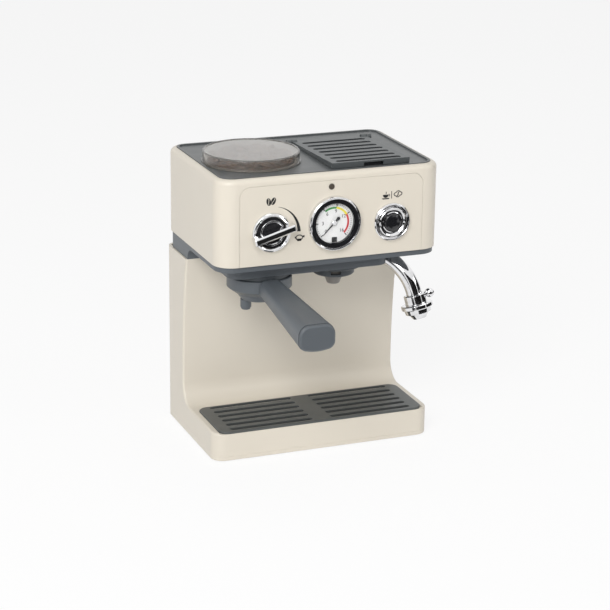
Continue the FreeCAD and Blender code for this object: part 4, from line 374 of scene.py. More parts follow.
@dataclass(frozen=True)
class PlatedMetal:
    """Chrome plating or bare steel."""

    name: str
    colour: Colour = (0.80, 0.80, 0.81)
    roughness: float = 0.05
    smudge: float = 0.05
    brushed: float = 0.0

    def build(self, effects: EffectShelf) -> bpy.types.Material:
        """Make the material.

        Args:
            effects: Shared node groups.

        Returns:
            The material.
        """
        material, graph, shader = new_material(self.name)
        smudge = effects.use(graph, Effect.SMUDGE, Base=self.roughness, Extra=self.smudge)
        edge = effects.use(graph, Effect.EDGE, Radius=0.0004)
        darker = tuple(c * 0.86 for c in self.colour)
        tarnish = graph.span(graph.noise(160.0), 0.4, 0.8)
        graph.put(shader.inputs["Base Color"], graph.mix(tarnish, self.colour, darker))
        shader.inputs["Metallic"].default_value = 1.0
        graph.put(shader.inputs["Roughness"], smudge.outputs["Rough"])
        if self.brushed:
            lines = effects.use(graph, Effect.GRAIN, Scale=4200.0, Tone=0.0, Rough=0.0)
            bump = graph.node("ShaderNodeBump")
            bump.inputs["Distance"].default_value = self.brushed
            graph.put(bump.inputs["Height"], lines.outputs["Height"])
            graph.put(bump.inputs["Normal"], edge.outputs["Normal"])
            graph.put(shader.inputs["Normal"], bump.outputs[0])
        else:
            graph.put(shader.inputs["Normal"], edge.outputs["Normal"])
        return material


@dataclass(frozen=True)
class ClearPlastic:
    """Clear or smoky plastic that light passes through."""

    name: str
    colour: Colour
    roughness: float = 0.04
    ior: float = 1.45
    clear: float = 1.0

    def build(self, effects: EffectShelf) -> bpy.types.Material:
        """Make the material.

        Args:
            effects: Shared node groups.

        Returns:
            The material.
        """
        material, graph, shader = new_material(self.name)
        smudge = effects.use(graph, Effect.SMUDGE, Base=self.roughness, Extra=0.05)
        deeper = tuple(c * 0.93 for c in self.colour)
        graph.put(shader.inputs["Base Color"], graph.mix(graph.noise(30.0), self.colour, deeper))
        graph.put(shader.inputs["Roughness"], smudge.outputs["Rough"])
        shader.inputs["IOR"].default_value = self.ior
        shader.inputs["Transmission Weight"].default_value = self.clear
        through = graph.node("ShaderNodeBsdfTransparent")
        through.inputs["Color"].default_value = (*self.colour, 1.0)
        path = graph.node("ShaderNodeLightPath")
        blend = graph.node("ShaderNodeMixShader")
        graph.put(blend.inputs[0], path.outputs["Is Shadow Ray"])
        graph.put(blend.inputs[1], shader.outputs[0])
        graph.put(blend.inputs[2], through.outputs[0])
        graph.put(material.node_tree.nodes["Material Output"].inputs["Surface"], blend.outputs[0])
        return material


@dataclass(frozen=True)
class KnobFinish:
    """Black dish with a plated ring and a plated bar, set apart by where they stand."""

    name: str
    centre: Spot
    bar_from: float
    ring_from: float
    ring_inner: float
    ring_outer: float

    def build(self, effects: EffectShelf) -> bpy.types.Material:
        """Make the material.

        Args:
            effects: Shared node groups.

        Returns:
            The material.
        """
        material, graph, shader = new_material(self.name)
        x, y, z = graph.place()
        across = graph.math("SUBTRACT", x, self.centre[0] * MM)
        up = graph.math("SUBTRACT", z, self.centre[1] * MM)
        square = graph.math("ADD", graph.math("MULTIPLY", across, across), graph.math("MULTIPLY", up, up))
        radius = graph.math("SQRT", square)
        bar = graph.math("LESS_THAN", y, self.bar_from * MM)
        proud = graph.math("LESS_THAN", y, self.ring_from * MM)
        outside = graph.math("GREATER_THAN", radius, self.ring_inner * MM)
        inside = graph.math("LESS_THAN", radius, self.ring_outer * MM)
        ring = graph.math("MULTIPLY", proud, graph.math("MULTIPLY", outside, inside))
        plated = graph.math("MAXIMUM", bar, ring)
        smudge = effects.use(graph, Effect.SMUDGE, Base=0.06, Extra=0.05)
        edge = effects.use(graph, Effect.EDGE, Radius=0.0005)
        graph.put(shader.inputs["Base Color"], graph.mix(plated, (0.012, 0.012, 0.014), (0.80, 0.80, 0.81)))
        graph.put(shader.inputs["Metallic"], plated)
        extra = graph.math("MULTIPLY", graph.math("SUBTRACT", 1.0, plated), 0.12)
        graph.put(shader.inputs["Roughness"], graph.math("ADD", smudge.outputs["Rough"], extra))
        graph.put(shader.inputs["Normal"], edge.outputs["Normal"])
        return material


@dataclass(frozen=True)
class GroovedLid:
    """Slate plastic with painted shade down in the grooves of the sloping lid and a painted highlight along
    its edges.
    """

    name: str
    colour: Colour
    groove_shade: Colour
    front: tuple[float, float]
    back: tuple[float, float]
    left: float
    right: float
    roughness: float = 0.4

    def build(self, effects: EffectShelf) -> bpy.types.Material:
        """Make the material.

        Args:
            effects: Shared node groups.

        Returns:
            The material.
        """
        material, graph, shader = new_material(self.name)
        x, y, z = graph.place()
        fall = (self.back[1] - self.front[1]) / (self.back[0] - self.front[0])
        start = (self.front[1] - fall * self.front[0]) * MM
        roof = graph.math("ADD", graph.math("MULTIPLY", y, fall), start)
        depth = graph.math("SUBTRACT", roof, z)
        # Painted shade: below the lid's sloping top, down in the grooves, the slate turns near black.
        low = graph.span(depth, 0.00008, 0.0002)
        inner = graph.math("MULTIPLY", graph.math("GREATER_THAN", x, self.left * MM),
                           graph.math("LESS_THAN", x, self.right * MM))
        ends = graph.math("MULTIPLY", graph.math("GREATER_THAN", y, (self.front[0] + 1.0) * MM),
                          graph.math("LESS_THAN", y, (self.back[0] - 1.0) * MM))
        groove_shade_mask = graph.math("MULTIPLY", low, graph.math("MULTIPLY", inner, ends))
        grain = effects.use(graph, Effect.GRAIN, Scale=2400.0, Tone=0.06, Rough=0.1)
        edge = effects.use(graph, Effect.EDGE, Radius=0.0006)
        base = graph.mix(groove_shade_mask, self.colour, self.groove_shade)
        # Painted highlight: a lighter slate is mixed in along the edges.
        lighter = tuple(min(1.0, c * 1.3 + 0.03) for c in self.colour)
        painted_edge_highlight = graph.math("MULTIPLY", edge.outputs["Mask"], 0.35)
        graph.put(shader.inputs["Base Color"], graph.mix(painted_edge_highlight, base, lighter))
        graph.put(shader.inputs["Roughness"], graph.math("ADD", grain.outputs["Rough"], self.roughness, True))
        graph.put(shader.inputs["Normal"], edge.outputs["Normal"])
        return material


@dataclass(frozen=True)
class BeanFinish:
    """Brown moulded beans with darker and lighter patches."""

    name: str
    dark: Colour
    light: Colour

    def build(self, effects: EffectShelf) -> bpy.types.Material:
        """Make the material.

        Args:
            effects: Shared node groups.

        Returns:
            The material.
        """
        material, graph, shader = new_material(self.name)
        patches = graph.span(graph.noise(190.0, 2.0), 0.35, 0.65)
        graph.put(shader.inputs["Base Color"], graph.mix(patches, self.dark, self.light))
        grain = effects.use(graph, Effect.GRAIN, Scale=1500.0, Tone=0.0, Rough=0.15)
        graph.put(shader.inputs["Roughness"], graph.math("ADD", grain.outputs["Rough"], 0.42, True))
        bump = graph.node("ShaderNodeBump")
        bump.inputs["Distance"].default_value = 0.00008
        graph.put(bump.inputs["Height"], grain.outputs["Height"])
        graph.put(shader.inputs["Normal"], bump.outputs[0])
        return material


class FinishBook:
    """Every finish of the coffee maker, built when first asked for."""

    def __init__(self) -> None:
        """List the finishes."""
        self.effects = EffectShelf()
        slate: Colour = (0.108, 0.122, 0.136)
        listed = [
            MouldedPlastic("cream_satin", (0.765, 0.706, 0.605), 0.36, 2200.0, 0.000012, 0.03,
                           0.0006, 0.12, 0.0, 0.12),
            MouldedPlastic("slate_satin", slate, 0.40, 2400.0, 0.000022, 0.08, 0.0006, 0.35, 0.0, 0.0),
            MouldedPlastic("slate_top", (0.085, 0.093, 0.096), 0.36, 2400.0, 0.000012, 0.08,
                           0.0006, 0.35, 0.06, 0.0),
            MouldedPlastic("slate_deep", (0.062, 0.072, 0.080), 0.42, 2400.0, 0.00002, 0.08,
                           0.0006, 0.30, 0.0, 0.0),
            MouldedPlastic("slate_grate", (0.085, 0.092, 0.090), 0.42, 2400.0, 0.00002, 0.08,
                           0.0006, 0.35, 0.05, 0.0),
            MouldedPlastic("inner_black", (0.022, 0.023, 0.025), 0.55, 2000.0, 0.00003, 0.1, 0.0004, 0.3),
            MouldedPlastic("gloss_black", (0.012, 0.012, 0.014), 0.12, 1800.0, 0.000003, 0.05,
                           0.0005, 0.1, 0.0, 0.4),
            MouldedPlastic("stone_satin", (0.20, 0.187, 0.172), 0.40, 2200.0, 0.00001, 0.05, 0.0005, 0.2),
            MouldedPlastic("dial_white", (0.56, 0.56, 0.555), 0.55, 3000.0, 0.000004, 0.03, 0.0002, 0.05),
            MouldedPlastic("print_black", (0.016, 0.016, 0.017), 0.5, 3200.0, 0.000004, 0.1, 0.0001, 0.1),
            MouldedPlastic("print_green", (0.02, 0.19, 0.035), 0.5, 3200.0, 0.000004, 0.05, 0.0001, 0.1),
            MouldedPlastic("print_yellow", (0.58, 0.50, 0.02), 0.5, 3200.0, 0.000004, 0.05, 0.0001, 0.1),
            MouldedPlastic("print_red", (0.42, 0.012, 0.016), 0.5, 3200.0, 0.000004, 0.05, 0.0001, 0.1),
            MouldedPlastic("lamp_smoke", (0.09, 0.075, 0.06), 0.16, 2000.0, 0.000004, 0.2,
                           0.0005, 0.4, 0.0, 0.6),
            MouldedPlastic("foot_rubber", (0.03, 0.03, 0.03), 0.75, 1500.0, 0.00006, 0.2, 0.0006, 0.2),
            MouldedPlastic("hose_milky", (0.62, 0.61, 0.58), 0.35, 1500.0, 0.00001, 0.05, 0.0003, 0.1),
            MouldedPlastic("board_green", (0.02, 0.13, 0.05), 0.35, 2600.0, 0.00003, 0.25,
                           0.0003, 0.3, 0.0, 0.4),
            MouldedPlastic("cell_wrap", (0.45, 0.30, 0.05), 0.3, 2600.0, 0.00001, 0.15, 0.0005,
                           0.2, 0.0, 0.5),
            GroovedLid("slate_lid", (0.085, 0.094, 0.097), (0.012, 0.014, 0.016),
                       (-61.0, 271.8), (37.0, 269.0), 6.5, 77.5),
            PlatedMetal("chrome"),
            PlatedMetal("plain_steel", (0.56, 0.56, 0.57), 0.22, 0.12, 0.00002),
            ClearPlastic("smoky_clear", (0.78, 0.76, 0.73), 0.05, 1.45, 0.94),
            ClearPlastic("lens_clear", (0.98, 0.98, 0.98), 0.0, 1.12),
            ClearPlastic("tank_clear", (0.93, 0.94, 0.95), 0.08),
            KnobFinish("knob_black_and_plate", (-57.8, 217.5), -77.7, -76.6, 9.4, 11.8),
            BeanFinish("roast_bean", (0.028, 0.014, 0.008), (0.075, 0.036, 0.018)),
        ]
        self.listed = {finish.name: finish for finish in listed}
        self.built: dict[str, bpy.types.Material] = {}

    def get(self, name: str) -> bpy.types.Material:
        """Return a finish by name."""
        if name not in self.built:
            self.built[name] = self.listed[name].build(self.effects)
        return self.built[name]


class Piece:
    """One mesh of the scene, put together in millimetres and carried by a body."""

    def __init__(self, name: str) -> None:
        """Start an empty piece."""
        self.name = name
        self.bm = bmesh.new()

    def plate(self, outline: list[Spot], front: float, thick: float) -> None:
        """Add a thin plate that faces the front.

        Args:
            outline: Corners as (x, z).
            front: Depth of its face.
            thick: Its thickness.
        """
        near = [self.bm.verts.new((x * MM, front * MM, z * MM)) for x, z in outline]
        far = [self.bm.verts.new((x * MM, (front + thick) * MM, z * MM)) for x, z in outline]
        self.bm.faces.new(near)
        self.bm.faces.new(list(reversed(far)))
        count = len(outline)
        for i in range(count):
            j = (i + 1) % count
            self.bm.faces.new((near[i], near[j], far[j], far[i]))

    def band(self, inner: list[Spot], outer: list[Spot], front: float, thick: float) -> None:
        """Add a thin strip between two lines of points.

        Args:
            inner: Points along one side.
            outer: Points along the other side, as many.
            front: Depth of its face.
            thick: Its thickness.
        """
        for i in range(len(inner) - 1):
            self.plate([inner[i], outer[i], outer[i + 1], inner[i + 1]], front, thick)

    def stroke(self, line: list[Spot], width: float, front: float, thick: float) -> None:
        """Add a strip of one width along a line.

        Args:
            line: Points along the middle.
            width: Width of the strip.
            front: Depth of its face.
            thick: Its thickness.
        """
        left: list[Spot] = []
        right: list[Spot] = []
        for i, (x, z) in enumerate(line):
            before = Vector(line[max(i - 1, 0)])
            after = Vector(line[min(i + 1, len(line) - 1)])
            way = (after - before).normalized()
            left.append((x - way.y * width / 2, z + way.x * width / 2))
            right.append((x + way.y * width / 2, z - way.x * width / 2))
        self.band(left, right, front, thick)

    def finish(self, material: bpy.types.Material, body: Body, slot: str,
               smooth: bool = False) -> bpy.types.Object:
        """Turn the piece into an object.

        Args:
            material: Its finish.
            body: Body that carries it.
            slot: Material slot of the record; not used.
            smooth: Shade it smooth.

        Returns:
            The object.
        """
        bmesh.ops.recalc_face_normals(self.bm, faces=self.bm.faces)
        mesh = bpy.data.meshes.new(self.name)
        self.bm.to_mesh(mesh)
        self.bm.free()
        if smooth:
            for polygon in mesh.polygons:
                polygon.use_smooth = True
        return place_mesh(mesh, material, body)


def place_mesh(mesh: bpy.types.Mesh, material: bpy.types.Material, body: Body) -> bpy.types.Object:
    """Put a mesh in the scene.

    Args:
        mesh: The mesh, in metres in the part's frame.
        material: Its finish.
        body: Body that carries it.

    Returns:
        The object.
    """
    mesh.materials.append(material)
    made = bpy.data.objects.new(mesh.name, mesh)
    bpy.context.scene.collection.objects.link(made)
    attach(made, body.value)
    LOG.info("piece %s rides on %s", mesh.name, body.value)
    return made


def round_line(centre: Spot, radius: float, start: float, end: float, steps: int) -> list[Spot]:
    """Return points along an arc.

    Args:
        centre: Middle of the arc.
        radius: Its radius.
        start: First angle in degrees.
        end: Last angle in degrees.
        steps: Number of steps.

    Returns:
        The points.
    """
    spots = []
    for i in range(steps + 1):
        angle = math.radians(start + (end - start) * i / steps)
        spots.append((centre[0] + radius * math.cos(angle), centre[1] + radius * math.sin(angle)))
    return spots


def oval(centre: Spot, wide: float, tall: float, tilt: float, steps: int = 24) -> list[Spot]:
    """Return the outline of a tilted oval.

    Args:
        centre: Its middle.
        wide: Half its width.
        tall: Half its height.
        tilt: Turn in degrees.
        steps: Number of corners.

    Returns:
        The corners.
    """
    turn = math.radians(tilt)
    spots = []
    for i in range(steps):
        angle = 2 * math.pi * i / steps
        a = wide * math.cos(angle)
        b = tall * math.sin(angle)
        spots.append((centre[0] + a * math.cos(turn) - b * math.sin(turn),
                      centre[1] + a * math.sin(turn) + b * math.cos(turn)))
    return spots


@dataclass
class CarriedNodes:
    """Gives every CAD node that stays in view its finish."""

    finishes: FinishBook
    by_finish: dict[str, tuple[str, ...]] = field(default_factory=lambda: {
        "cream_satin": ("head_cover", "front_panel", "body_shell", "back_panel",
                        "battery_door", "base_plate"),
        "slate_satin": ("chassis", "portafilter_bowl", "portafilter_spouts",
                        "portafilter_handle", "handle_end_cap"),
        "slate_top": ("top_tray",),
        "slate_lid": ("tank_lid",),
        "slate_deep": ("grinder_collar", "brew_head", "wand_socket"),
        "slate_grate": ("drip_grate",),
        "inner_black": ("drip_pan", "gauge_cup", "battery_box", "power_switch_body", "pump_bracket",
                        "pump_body", "speaker", "knob_shaft", "button_switch"),
        "gloss_black": ("gauge_ring", "push_button", "gauge_needle", "power_switch"),
        "stone_satin": ("brew_nozzle", "hopper_bowl"),
        "dial_white": ("gauge_dial",),
        "lamp_smoke": ("indicator_lens", "indicator_led"),
        "foot_rubber": ("feet",),
        "hose_milky": ("suction_hose", "delivery_hose"),
        "board_green": ("circuit_board",),
        "cell_wrap": ("batteries",),
        "chrome": ("knob_bezel", "gauge_bezel", "button_bezel", "needle_cap", "steam_wand",
                   "wand_collar", "wand_nozzle", "wand_side_knob"),
        "plain_steel": ("lid_hinge_pins", "filter_basket", "button_spring", "battery_contacts",
                        "battery_door_screw", "housing_screws", "pump_motor"),
        "smoky_clear": ("hopper_cover",),
        "lens_clear": ("gauge_lens",),
        "tank_clear": ("water_tank",),
        "knob_black_and_plate": ("dose_knob",),
        "roast_bean": ("bean_bed",),
    })

    def dress(self) -> None:
        """Assign the finishes."""
        left = set(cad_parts)
        for finish, names in self.by_finish.items():
            material = self.finishes.get(finish)
            for name in names:
                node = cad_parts[name]
                if not node.material_slots:
                    node.data.materials.append(material)
                for slot in node.material_slots:
                    slot.material = material
                left.discard(name)
                LOG.info("node %s has %s", name, finish)
        if left:
            LOG.warning("nodes with no finish: %s", sorted(left))


@dataclass
class PanelSigns:
    """Small plain signs printed on the front panel."""

    finishes: FinishBook
    face: float = -74.0
    proud: float = 0.05
    bean_sign: Spot = (-58.5, 245.3)
    knob: Spot = (-57.8, 217.5)
    strainer_sign: Spot = (-31.1, 210.6)
    cup_sign: Spot = (51.2, 241.6)
    divider: Spot = (56.9, 241.8)
    steam_sign: Spot = (63.2, 242.2)

    def add(self, piece: Piece, slot: str = "black_gloss") -> None:
        """Finish one sign.

        Args:
            piece: The sign's mesh.
            slot: Material slot of the record.
        """
        piece.finish(self.finishes.get("print_black"), Body.MACHINE, slot)

    def beans(self) -> None:
        """Two beans, each with its slit."""
        piece = Piece("sign_beans")
        x, z = self.bean_sign
        for centre, tilt in (((x - 2.1, z + 0.1), 12.0), ((x + 2.3, z + 0.5), -22.0)):
            ring = oval(centre, 2.15, 3.5, tilt, 24)
            middle = []
            for i in range(7):
                share = i / 6
                top, bottom = ring[6], ring[18]
                bend = 0.55 * math.sin(2 * math.pi * share)
                middle.append((top[0] + (bottom[0] - top[0]) * share + bend,
                               top[1] + (bottom[1] - top[1]) * share))
            gap = 0.26
            left = ring[6:19] + [(a - gap, b) for a, b in reversed(middle[1:-1])]
            right = ring[18:] + ring[:7] + [(a + gap, b) for a, b in middle[1:-1]]
            piece.plate(left, self.face - self.proud, self.proud)
            piece.plate(right, self.face - self.proud, self.proud)
        self.add(piece)

    def swoosh(self) -> None:
        """Arc that grows thicker round the knob."""
        piece = Piece("sign_swoosh")
        inner: list[Spot] = []
        outer: list[Spot] = []
        steps = 36
        for i in range(steps + 1):
            share = i / steps
            angle = math.radians(74.0 - 77.0 * share)
            middle = 23.4 + 2.6 * share
            half = 0.15 + 1.5 * share ** 1.3
            for line, radius in ((inner, middle - half), (outer, middle + half)):
                line.append((self.knob[0] + radius * math.cos(angle),
                             self.knob[1] + radius * math.sin(angle)))
        piece.band(inner, outer, self.face - self.proud, self.proud)
        self.add(piece)

    def strainer(self) -> None:
        """Portafilter seen from above."""
        piece = Piece("sign_strainer")
        x, z = self.strainer_sign
        ring = oval((x - 0.4, z - 0.2), 3.1, 2.3, 0.0, 28)
        piece.stroke(ring + ring[:1], 0.9, self.face - self.proud, self.proud)
        piece.plate([(x - 3.0, z - 1.2), (x - 2.2, z - 3.4), (x + 1.4, z - 3.4), (x + 2.2, z - 1.2)],
                    self.face - self.proud, self.proud)
        piece.plate([(x + 2.5, z + 1.2), (x + 4.6, z + 1.7), (x + 4.6, z - 0.5), (x + 2.5, z - 0.2)],
                    self.face - self.proud, self.proud)
        piece.plate([(x - 4.6, z + 0.9), (x - 3.3, z + 0.9), (x - 3.3, z - 0.7), (x - 4.6, z - 0.7)],
                    self.face - self.proud, self.proud)
        self.add(piece)

    def cup(self) -> None:
        """Cup on a saucer with a wisp above it."""
        piece = Piece("sign_cup")
        x, z = self.cup_sign
        bowl = [(x - 2.9, z + 0.8)] + round_line((x, z + 0.8), 2.9, 180.0, 360.0, 16)[1:]
        piece.plate(bowl, self.face - self.proud, self.proud)
        piece.stroke(round_line((x + 2.8, z + 0.1), 1.05, -80.0, 90.0, 10), 0.6,
                     self.face - self.proud, self.proud)
        piece.plate([(x - 3.9, z - 2.4), (x + 3.9, z - 2.4), (x + 2.8, z - 3.5), (x - 2.8, z - 3.5)],
                    self.face - self.proud, self.proud)
        wisp = [(x + 0.5 * math.sin(3.0 * t), z + 1.3 + 2.2 * t) for t in (0.0, 0.25, 0.5, 0.75, 1.0)]
        piece.stroke(wisp, 0.6, self.face - self.proud, self.proud)
        self.add(piece)

    def steam(self) -> None:
        """Leaf-shaped puff of steam with a wave in it."""
        piece = Piece("sign_steam")
        x, z = self.steam_sign
        outline = []
        for i in range(33):
            angle = 2 * math.pi * i / 32
            radius = 3.0 + 0.35 * math.cos(4 * angle) + 0.3 * math.cos(2 * angle - 0.8)
            outline.append((x + 1.1 * radius * math.cos(angle), z + 0.9 * radius * math.sin(angle)))
        piece.stroke(outline, 0.8, self.face - self.proud, self.proud)
        wave = [(x - 1.2 + 2.4 * t + 0.5 * math.sin(6.0 * t), z - 1.9 + 3.6 * t)
                for t in (i / 12 for i in range(13))]
        piece.stroke(wave, 0.9, self.face - self.proud, self.proud)
        self.add(piece)

    def line(self) -> None:
        """Upright line between two signs."""
        piece = Piece("sign_divider")
        x, z = self.divider
        piece.plate([(x - 0.32, z - 3.4), (x + 0.32, z - 3.4), (x + 0.32, z + 3.4), (x - 0.32, z + 3.4)],
                    self.face - self.proud, self.proud)
        self.add(piece)

    def build(self) -> None:
        """Make every sign."""
        self.beans()
        self.swoosh()
        self.strainer()
        self.cup()
        self.line()
        self.steam()


@dataclass
class DialPrint:
    """Scale of the gauge: ticks, coloured arcs and plain numbers."""

    finishes: FinishBook
    centre: Spot = (1.4, 221.0)
    face: float = -74.0
    proud: float = 0.06
    arc_inner: float = 12.9
    arc_outer: float = 14.7
    tick_inner: float = 16.0
    tick_outer: float = 17.4
    major_inner: float = 14.9
    number_radius: float = 10.6
    number_height: float = 3.3
    majors: tuple[tuple[float, str], ...] = ((225.0, "0"), (180.0, "3"), (127.5, "6"),
                                            (80.0, "9"), (30.0, "12"), (-45.0, "16"))
    minors: int = 40

    def arc(self, name: str, start: float, end: float, finish: str) -> None:
        """Make one coloured arc.

        Args:
            name: Name of the piece.
            start: First angle in degrees.
            end: Last angle in degrees.
            finish: Name of its finish.
        """
        piece = Piece(name)
        inner = round_line(self.centre, self.arc_inner, start, end, 24)
        outer = round_line(self.centre, self.arc_outer, start, end, 24)
        piece.band(inner, outer, self.face - self.proud, self.proud)
        piece.finish(self.finishes.get(finish), Body.MACHINE, "dial_face")

    def ticks(self) -> None:
        """Make the long and short ticks and the dark block at the foot of the dial."""
        piece = Piece("dial_ticks")
        for i in range(self.minors + 1):
            angle = 225.0 - 270.0 * i / self.minors
            self.tick(piece, angle, self.tick_inner, self.tick_outer, 0.42)
        for angle, _ in self.majors:
            self.tick(piece, angle, self.major_inner, self.tick_outer, 1.0)
        x, z = self.centre[0] + 0.5, self.centre[1] - 15.4
        piece.plate([(x - 2.3, z - 2.4), (x + 2.3, z - 2.4), (x + 2.3, z + 2.1), (x - 2.3, z + 2.1)],
                    self.face - 1.0, 0.98)
        piece.finish(self.finishes.get("print_black"), Body.MACHINE, "dial_face")

    def tick(self, piece: Piece, angle: float, inner: float, outer: float, width: float) -> None:
        """Add one tick.

        Args:
            piece: Mesh to add it to.
            angle: Where it stands, in degrees.
            inner: Radius of its inner end.
            outer: Radius of its outer end.
            width: Its width.
        """
        turn = math.radians(angle)
        way = Vector((math.cos(turn), math.sin(turn)))
        start = Vector(self.centre) + way * inner
        end = Vector(self.centre) + way * outer
        piece.stroke([tuple(start), tuple(end)], width, self.face - self.proud, self.proud)

    def numbers(self) -> None:
        """Make the plain numbers, turned into meshes."""
        for angle, text in self.majors:
            curve = bpy.data.curves.new("dial_number_" + text, "FONT")
            curve.body = text
            curve.size = self.number_height * 1.35 * MM
            curve.align_x = "CENTER"
            curve.align_y = "CENTER"
            curve.offset = 0.00006
            holder = bpy.data.objects.new(curve.name, curve)
            bpy.context.scene.collection.objects.link(holder)
            bpy.context.view_layer.update()
            shown = holder.evaluated_get(bpy.context.evaluated_depsgraph_get())
            mesh = bpy.data.meshes.new_from_object(shown)
            bpy.data.objects.remove(holder)
            mesh.name = "dial_number_" + text
            turn = math.radians(angle)
            x = self.centre[0] + self.number_radius * math.cos(turn)
            z = self.centre[1] + self.number_radius * math.sin(turn)
            place = Matrix.Translation((x * MM, (self.face - self.proud) * MM, z * MM))
            mesh.transform(place @ Matrix.Rotation(math.pi / 2, 4, "X"))
            place_mesh(mesh, self.finishes.get("print_black"), Body.MACHINE)

    def build(self) -> None:
        """Make the whole print."""
        self.arc("dial_arc_green", 127.5, 80.0, "print_green")
        self.arc("dial_arc_yellow", 80.0, 30.0, "print_yellow")
        self.arc("dial_arc_red", 30.0, -45.0, "print_red")
        self.ticks()
        self.numbers()


@dataclass
class PlayBeans:
    """Loose-looking moulded beans over the bean bed."""

    finishes: FinishBook
    centre: tuple[float, float, float] = (-53.0, -8.0, 270.6)
    reach: float = 36.0
    count: int = 190
    length: float = 5.2
    seed: int = 11

    def bean(self, piece: Piece, place: Matrix) -> None:
        """Add one bean: a half-round body with a slit along its flat side.

        Args:
            piece: Mesh to add it to.
            place: Where the bean lies.
        """
        rows: list[list[bmesh.types.BMVert]] = []
        around, along = 12, 8
        for j in range(1, along):
            polar = math.pi * j / along
            row = []
            for i in range(around):
                angle = 2 * math.pi * i / around
                x = self.length * math.cos(polar)
                y = self.length * 0.68 * math.sin(polar) * math.cos(angle)
                z = self.length * 0.52 * math.sin(polar) * math.sin(angle)
                if z > 0:
                    z *= 0.45
                    z -= 0.8 * math.exp(-(y / 0.55) ** 2) * math.sin(polar)
                row.append(piece.bm.verts.new(place @ (Vector((x, y, z)) * MM * 0.9)))
            rows.append(row)
        ends = [piece.bm.verts.new(place @ Vector((way * self.length * 0.9 * MM, 0, 0))) for way in (1, -1)]
        for first, second in zip(rows, rows[1:]):
            for i in range(around):
                k = (i + 1) % around
                piece.bm.faces.new((first[i], first[k], second[k], second[i]))
        for i in range(around):
            k = (i + 1) % around
            piece.bm.faces.new((ends[0], rows[0][k], rows[0][i]))
            piece.bm.faces.new((ends[1], rows[-1][i], rows[-1][k]))

    def build(self) -> None:
        """Scatter the beans in rings, each turned its own way."""
        dice = random.Random(self.seed)
        piece = Piece("play_beans")
        for i in range(self.count):
            radius = self.reach * math.sqrt((i + 0.5) / self.count)
            angle = i * GOLDEN_ANGLE + dice.uniform(-0.2, 0.2)
            lift = dice.uniform(-0.8, 0.9)
            spot = Vector((self.centre[0] + radius * math.cos(angle),
                           self.centre[1] + radius * math.sin(angle), self.centre[2] + lift)) * MM
            flip = math.pi if dice.random() < 0.35 else 0.0
            turn = (Matrix.Rotation(dice.uniform(0, 2 * math.pi), 4, "Z")
                    @ Matrix.Rotation(flip + dice.uniform(-0.5, 0.5), 4, "X")
                    @ Matrix.Rotation(dice.uniform(-0.3, 0.3), 4, "Y"))
            self.bean(piece, Matrix.Translation(spot) @ turn)
        piece.finish(self.finishes.get("roast_bean"), Body.MACHINE, "bean_plastic", smooth=True)


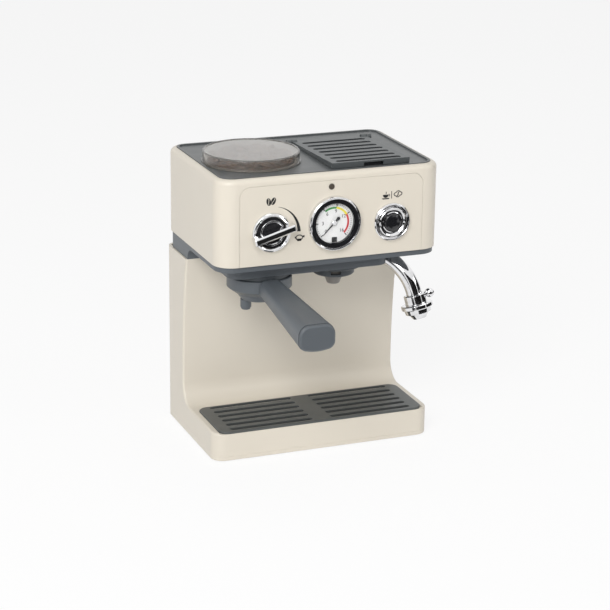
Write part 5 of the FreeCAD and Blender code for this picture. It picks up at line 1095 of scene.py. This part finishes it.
@dataclass
class Studio:
    """Pale floor, soft lamps and the camera of the photograph."""

    camera_spot: tuple[float, float, float] = (-0.66833, -1.68040, 0.71316)
    yaw: float = -21.82
    pitch: float = 18.121
    roll: float = 0.777
    lens: float = 119.98
    world_fill: float = 0.30

    def floor(self) -> None:
        """Make the floor: it looks nearly white and keeps a soft shadow."""
        mesh = bpy.data.meshes.new("floor")
        mesh.from_pydata([(-6, -6, 0), (6, -6, 0), (6, 6, 0), (-6, 6, 0)], [], [(0, 1, 2, 3)])
        floor = bpy.data.objects.new("floor", mesh)
        bpy.context.scene.collection.objects.link(floor)
        material, graph, shader = new_material("floor_pale")
        shader.inputs["Base Color"].default_value = (0.93, 0.93, 0.93, 1.0)
        shader.inputs["Roughness"].default_value = 0.9
        shader.inputs["Specular IOR Level"].default_value = 0.1
        glow = graph.node("ShaderNodeEmission")
        glow.inputs["Strength"].default_value = FLOOR_GLOW
        blend = graph.node("ShaderNodeMixShader")
        graph.put(blend.inputs[0], graph.math("MULTIPLY", graph.seen_plainly(), FLOOR_GLOW_SHARE))
        graph.put(blend.inputs[1], shader.outputs[0])
        graph.put(blend.inputs[2], glow.outputs[0])
        graph.put(material.node_tree.nodes["Material Output"].inputs["Surface"], blend.outputs[0])
        mesh.materials.append(material)

    def lamp(self, name: str, spot: tuple[float, float, float], size: float, power: float) -> None:
        """Add a soft square lamp that looks at the object.

        Args:
            name: Its name.
            spot: Where it stands.
            size: Length of its side.
            power: Its power in watts.
        """
        data = bpy.data.lights.new(name, "AREA")
        data.size = size
        data.energy = power
        made = bpy.data.objects.new(name, data)
        made.location = spot
        made.rotation_mode = "QUATERNION"
        aim = Vector((0.0, 0.0, 0.14)) - Vector(spot)
        made.rotation_quaternion = aim.to_track_quat("-Z", "Y")
        bpy.context.scene.collection.objects.link(made)

    def flag(self, name: str, spot: tuple[float, float, float], wide: float, tall: float) -> None:
        """Add a dark card that only shows in shiny pieces.

        Args:
            name: Its name.
            spot: Where it stands.
            wide: Its width.
            tall: Its height.
        """
        mesh = bpy.data.meshes.new(name)
        half, high = wide / 2, tall / 2
        corners = [(-half, -high, 0), (half, -high, 0), (half, high, 0), (-half, high, 0)]
        mesh.from_pydata(corners, [], [(0, 1, 2, 3)])
        card = bpy.data.objects.new(name, mesh)
        card.location = spot
        card.rotation_mode = "QUATERNION"
        aim = Vector((0.0, 0.0, 0.2)) - Vector(spot)
        card.rotation_quaternion = aim.to_track_quat("-Z", "Y")
        bpy.context.scene.collection.objects.link(card)
        card.visible_camera = False
        card.visible_diffuse = False
        card.visible_transmission = False
        card.visible_shadow = False
        material, _, shader = new_material(name + "_dark")
        shader.inputs["Base Color"].default_value = (0.02, 0.02, 0.02, 1.0)
        shader.inputs["Roughness"].default_value = 1.0
        shader.inputs["Specular IOR Level"].default_value = 0.0
        mesh.materials.append(material)

    def carpet(self, name: str, spot: Spot, wide: float, deep: float) -> None:
        """Add a dark card on the floor in front that only shows in shiny pieces.

        Args:
            name: Its name.
            spot: Its middle as (x, y).
            wide: Its width.
            deep: Its depth.
        """
        self.flag(name, (spot[0], spot[1], 0.004), wide, deep)
        card = bpy.data.objects[name]
        card.rotation_quaternion = (1.0, 0.0, 0.0, 0.0)

    def world(self) -> None:
        """Make a white surround that lights the object at a plain level."""
        world = bpy.data.worlds.new("studio")
        bpy.context.scene.world = world
        world.use_nodes = True
        graph = Graph(world.node_tree)
        back = world.node_tree.nodes["Background"]
        back.inputs["Color"].default_value = (1.0, 1.0, 1.0, 1.0)
        graph.put(back.inputs["Strength"], graph.span(graph.seen_plainly(), 0.0, 1.0, self.world_fill, 1.0))

    def camera(self) -> None:
        """Set the photograph's camera."""
        yaw, pitch, roll = (math.radians(v) for v in (self.yaw, self.pitch, self.roll))
        back = Vector((math.sin(yaw) * math.cos(pitch), -math.cos(yaw) * math.cos(pitch), math.sin(pitch)))
        right = Vector((math.cos(yaw), math.sin(yaw), 0.0))
        up = back.cross(right)
        side = right * math.cos(roll) + up * math.sin(roll)
        top = up * math.cos(roll) - right * math.sin(roll)
        data = bpy.data.cameras.new("camera")
        data.lens = self.lens
        data.sensor_width = 36.0
        camera = bpy.data.objects.new("camera", data)
        turn = Matrix((side, top, back)).transposed().to_4x4()
        camera.matrix_world = Matrix.Translation(self.camera_spot) @ turn
        bpy.context.scene.collection.objects.link(camera)
        bpy.context.scene.camera = camera

    def build(self) -> None:
        """Set up the studio."""
        bpy.context.scene.view_settings.view_transform = "Standard"
        self.camera()
        self.world()
        self.floor()
        self.lamp("lamp_key", (-1.45, -1.75, 1.75), 1.3, 46.0)
        self.lamp("lamp_low", (-0.5, -2.2, 0.45), 1.0, 5.0)
        self.lamp("lamp_top", (0.2, 0.2, 2.2), 1.2, 4.0)
        self.lamp("lamp_right", (1.9, -1.3, 0.9), 1.0, 6.0)
        self.flag("flag_front", (0.1, -1.3, 0.2), 1.9, 1.3)
        self.flag("flag_left", (-1.25, -0.75, 0.12), 0.8, 0.5)
        self.flag("flag_right", (1.3, -0.35, 0.1), 1.5, 1.2)
        self.carpet("flag_floor", (0.1, -0.85), 1.3, 1.0)
        LOG.info("studio is set")


def main() -> None:
    """Dress the part and set up the studio."""
    logging.basicConfig(level=logging.INFO)
    finishes = FinishBook()
    CarriedNodes(finishes).dress()
    PanelSigns(finishes).build()
    DialPrint(finishes).build()
    PlayBeans(finishes).build()
    Studio().build()


if __name__ == "__main__":
    main()
